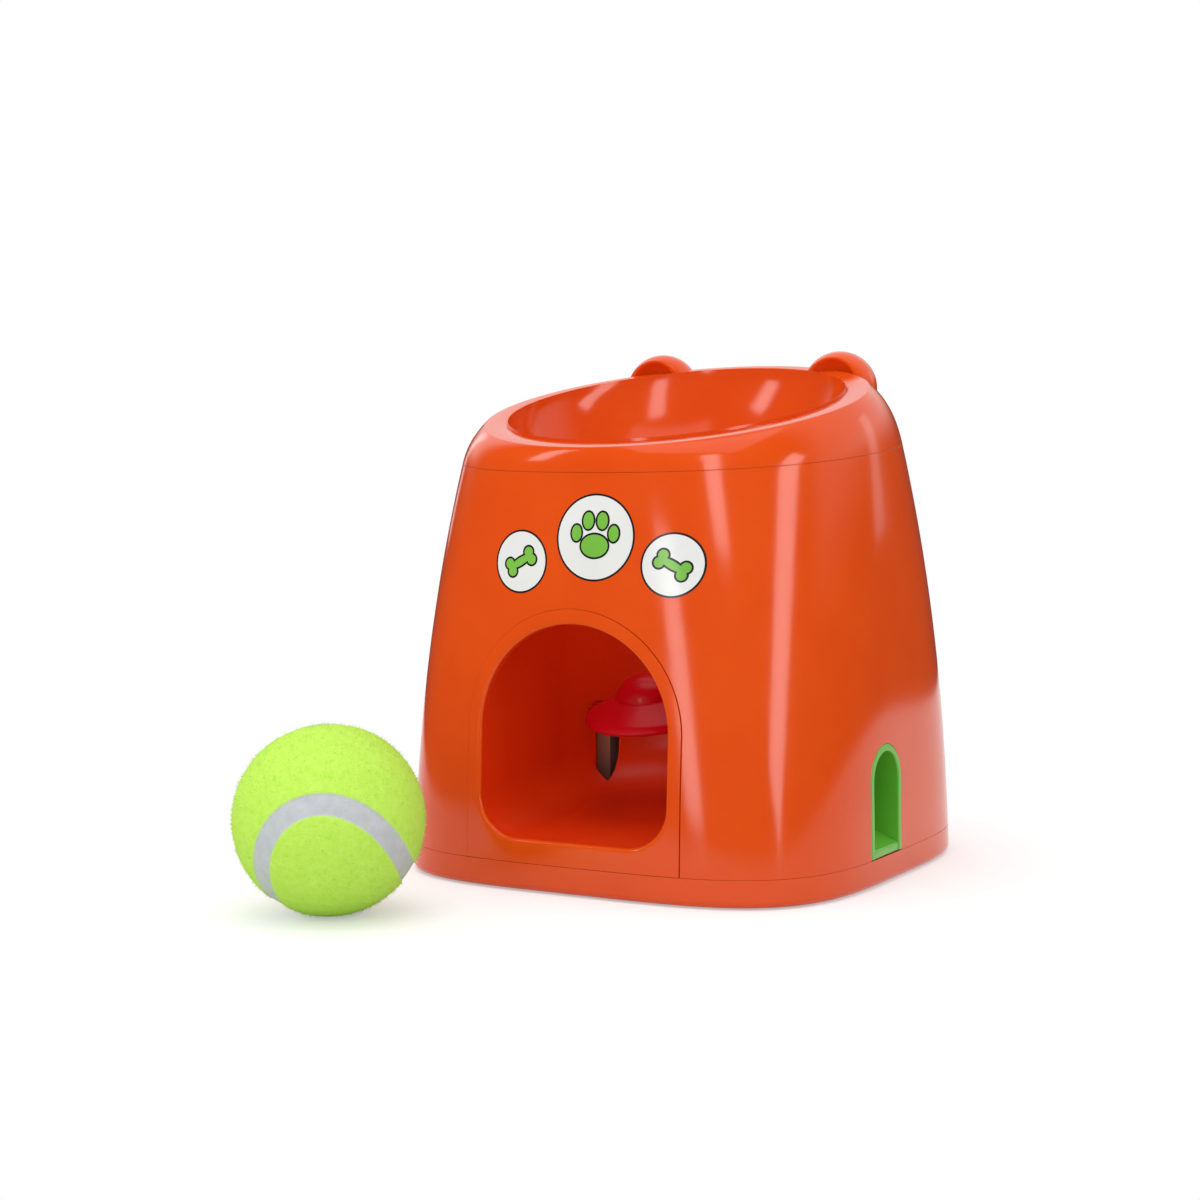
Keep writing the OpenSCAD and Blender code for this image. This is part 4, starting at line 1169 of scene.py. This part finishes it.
def add_oval(bm, middle, turn, oval, lift):
    """One oval, given by its centre and half sizes in the badge, before the badge is turned."""
    u0, v0, ru, rv = oval
    rows = [(r, lift) for r in PRINT_ROWS] + [(1, PRINT_SINK), (0, PRINT_SINK)]

    def place(column, row):
        t = column / PRINT_COLUMNS * TURN
        r, out = rows[row]
        u, v = u0 + ru * r * math.cos(t), v0 + rv * r * math.sin(t)
        x = middle[0] + u * math.cos(turn) - v * math.sin(turn)
        z = middle[1] + u * math.sin(turn) + v * math.cos(turn)
        return Vector((x, -wall_depth(x, z) - out, z))

    lens, _ = wrapped(PRINT_COLUMNS, len(rows), place, closed=False)
    part = mesh_from("oval", lens)
    bm.from_mesh(part)
    bpy.data.meshes.remove(part)


# %% Badges
PAW = [(0, -0.20, 0.36, 0.27), (-0.50, 0.10, 0.13, 0.19), (-0.19, 0.40, 0.14, 0.20)]
PAW += [(0.19, 0.40, 0.14, 0.20), (0.50, 0.10, 0.13, 0.19)]
BONE = [(0, 0, 0.44, 0.13)] + [(x, z, 0.17, 0.17) for x in (-0.43, 0.43) for z in (0.14, -0.14)]
badges = [((8 * MM, 126 * MM), 14.5 * MM, 0.0, PAW)]
badges += [((-22 * MM, 117 * MM), 10.5 * MM, 0.5, BONE), ((37 * MM, 117 * MM), 10.5 * MM, -0.5, BONE)]
OUTLINE = 0.7 * MM
OVERLAP = 0.002 * MM
LIFT = {"print_ring": 0.04 * MM, "print_disc": 0.07 * MM, "print_edge": 0.10 * MM, "print_mark": 0.13 * MM}
print_finish = {"print_ring": black_print, "print_disc": white_print, "print_edge": black_print}
print_finish["print_mark"] = green_print
layers = {name: [] for name in LIFT}
for middle, radius, turn, marks in badges:
    wide = radius + OUTLINE
    layers["print_ring"].append((middle, turn, (0, 0, wide, wide), 0))
    layers["print_disc"].append((middle, turn, (0, 0, radius, radius), 0))
    for i, mark in enumerate(marks):
        oval = [m * radius for m in mark]
        edge = oval[:2] + [m + OUTLINE for m in oval[2:]]
        layers["print_edge"].append((middle, turn, edge, i * OVERLAP))
        layers["print_mark"].append((middle, turn, oval, i * OVERLAP))
for name, ovals in layers.items():
    print_bm = bmesh.new()
    for middle, turn, oval, step in ovals:
        add_oval(print_bm, middle, turn, oval, LIFT[name] + step)
    finished(name, print_bm, print_finish[name], "housing", sharp=50)
print("badges", len(badges))

# %% [markdown]
# ## Finishes of the inner works
# The lever, brackets, hopper, screws and spring keep their measured shapes. They only need their
# materials, which go by the slot that the record names for each of them.


# %% Metals
def metal(name, low, high, rough):
    material, shader, tree = new_finish(name)
    fill(tree, shader, {
        "Base Color": blend_colours(tree, noise_on(tree, 260, 5), low, high),
        "Roughness": spread(tree, noise_on(tree, 900, 4), *rough),
        "Metallic": 1.0
    })
    return material


steel = metal("zinc_steel", srgb(186, 188, 192), srgb(206, 208, 212), (0.25, 0.4))
brass = metal("bush_brass", srgb(190, 150, 78), srgb(212, 172, 96), (0.25, 0.38))
slot_finish = {
    "orange_plastic": orange, "green_plastic": green, "red_plastic": red, "grey_plastic": grey,
    "steel": steel, "bush_brass": brass, "foot_rubber": rubber, "ball_felt": felt, "ball_rubber": rubber
}
for part in frame["record"]["subparts"]:
    node = frame["nodes"][part["node"]]
    node.data.materials.clear()
    node.data.materials.append(slot_finish[part["material_slot"]])
print("finished nodes", len(frame["nodes"]))

# %% [markdown]
# ## Floor, surroundings and lamps
# The even light comes from the surroundings, a little stronger from the front. A glossy shell shows
# its surroundings. A pale floor and a white backdrop behind give the pale sides and rim; a dim room
# in front keeps the orange deep; and soft boxes that only show as mirrored shapes give the upright
# streaks on the front corner and in the bowl. A very weak warm lamp behind the slot stands for the
# light that thin orange plastic lets through.

# %% Floor
FLOOR_R = 0.55
FLOOR_Y = 0.25
FLOOR_GREY = 0.72
FLOOR_LIFT = 0.4
FLOOR_FADE = (0.16, 0.3)


def join(tree, operation, one, two):
    return add_node(tree, "Math", {0: one, 1: two}, operation=operation, use_clamp=True).outputs["Value"]


def rising(tree, value, start, end):
    """Zero below the first value and one above the second, with a soft step between."""
    values = {"Value": value, "From Min": start, "From Max": end}
    return add_node(tree, "MapRange", values, interpolation_type="SMOOTHSTEP").outputs["Result"]


def floor_finish():
    material, shader, tree = new_finish("pale_floor")
    rays = add_node(tree, "LightPath").outputs
    watched = join(tree, "ADD", rays["Is Camera Ray"], rays["Is Glossy Ray"])
    watched = join(tree, "ADD", watched, rays["Is Transmission Ray"])
    fill(tree, shader, {
        "Base Color": (FLOOR_GREY, FLOOR_GREY, FLOOR_GREY, 1), "Roughness": 0.9, "Specular IOR Level": 0.0,
        "Emission Color": (1, 1, 1, 1), "Emission Strength": join(tree, "MULTIPLY", watched, FLOOR_LIFT)
    })
    place = add_node(tree, "TexCoord").outputs["Object"]
    away = add_node(tree, "VectorMath", {0: place}, operation="LENGTH").outputs["Value"]
    share = join(tree, "MULTIPLY", rising(tree, away, *FLOOR_FADE), watched)
    white = add_node(tree, "Emission").outputs["Emission"]
    fade = add_node(tree, "MixShader", {"Fac": share, 1: shader.outputs["BSDF"], 2: white})
    fill(tree, tree.nodes["Material Output"], {"Surface": fade.outputs["Shader"]})
    return material


floor_bm = bmesh.new()
bmesh.ops.create_circle(
    floor_bm, cap_ends=True, segments=96, radius=FLOOR_R, matrix=Matrix.Translation((0, FLOOR_Y, 0))
)
floor = placed("floor", mesh_from("floor", floor_bm))
floor.data.materials.append(floor_finish())
print("floor", floor.dimensions)

# %% Surroundings
AMBIENT = (0.50, 1.05)
LIGHT_FROM = (0, -0.95, 0.3)
ROOM = 0.05
BACKDROP_UP = (0.08, 0.3)
BACKDROP_BEHIND = (0.1, 0.5)

world = bpy.data.worlds.new("studio")
bpy.context.scene.world = world
world.use_nodes = True
sky = world.node_tree
sky.nodes.clear()
rays = add_node(sky, "LightPath").outputs
look = add_node(sky, "TexCoord").outputs["Generated"]
parts = add_node(sky, "SeparateXYZ", {"Vector": look}).outputs
above = rising(sky, parts["Z"], *BACKDROP_UP)
behind = rising(sky, parts["Y"], *BACKDROP_BEHIND)
room = join(sky, "ADD", join(sky, "MULTIPLY", above, behind), ROOM)
mirrored = join(sky, "ADD", rays["Is Glossy Ray"], rays["Is Transmission Ray"])
ahead = add_node(sky, "VectorMath", {0: look, 1: LIGHT_FROM}, operation="DOT_PRODUCT").outputs["Value"]
ends = {"Value": ahead, "From Min": -1, "From Max": 1, "To Min": AMBIENT[0], "To Max": AMBIENT[1]}
even_light = add_node(sky, "MapRange", ends).outputs["Result"]
lit = add_node(sky, "Mix", {"Factor": mirrored, "A": even_light, "B": room}).outputs["Result"]
seen = add_node(sky, "Mix", {"Factor": rays["Is Camera Ray"], "A": lit, "B": 1.0}).outputs["Result"]
shade = add_node(sky, "Background", {"Color": (1, 1, 1, 1), "Strength": seen}).outputs["Background"]
add_node(sky, "OutputWorld", {"Surface": shade})
print("surroundings", len(sky.nodes), "nodes")

# %% Lamps
STAGE_MIDDLE = Vector((0, 0, 0.09))
GLOW_PLACE = (-0.034, -0.005, 0.042)
GLOW_POWER = 0.0015
GLOW_SIZE = 0.004


def softbox(name, azimuth, elevation, distance, width, height, radiance, roll=0, streak=False):
    """A flat lamp that faces the middle, with its azimuth from the front to the right, in degrees.

    A streak lamp only shows as a mirrored shape and adds nothing to the even light.
    """
    a, e = math.radians(azimuth), math.radians(elevation)
    way = Vector((math.sin(a) * math.cos(e), -math.cos(a) * math.cos(e), math.sin(e)))
    lamp = bpy.data.lights.new(name, "AREA")
    lamp.shape = "RECTANGLE"
    lamp.size, lamp.size_y = width, height
    lamp.energy = radiance * math.pi * width * height
    holder = placed(name, lamp)
    holder.location = STAGE_MIDDLE + way * distance
    facing = (-way).to_track_quat("-Z", "Y").to_matrix() @ Matrix.Rotation(math.radians(roll), 3, "Z")
    holder.rotation_euler = facing.to_euler()
    holder.visible_camera = False
    holder.visible_diffuse = not streak


# Name, azimuth, elevation, distance, width, height and radiance
softbox("front_strip", 2, 4, 1.1, 0.15, 0.45, 6.0, streak=True)
softbox("small_box", 34, 36, 1.1, 0.17, 0.7, 6.0, streak=True)
softbox("side_box", 76, 15, 1.05, 0.2, 0.95, 6.0, roll=-42, streak=True)
softbox("bowl_box", -50, 36, 1.1, 0.18, 0.36, 6.0, streak=True)
softbox("right_strip", 150, 16, 1.2, 0.12, 0.5, 1.0)
softbox("left_strip", -125, 14, 1.2, 0.12, 0.5, 1.0)
softbox("overhead", 20, 80, 1.2, 0.9, 0.9, 1.3)
glow = bpy.data.lights.new("glow", "POINT")
glow.energy = GLOW_POWER
glow.shadow_soft_size = GLOW_SIZE
glow.color = (1, 0.2, 0.05)
glow_holder = placed("glow", glow)
glow_holder.location = GLOW_PLACE
glow_holder.visible_camera = False
glow_holder.visible_glossy = False
print("lamps", len(bpy.data.lights))

# %% [markdown]
# ## View settings
# The view settings stay plain, so that a colour looks as it was written.

# %% View settings
bpy.context.scene.view_settings.view_transform = "Standard"
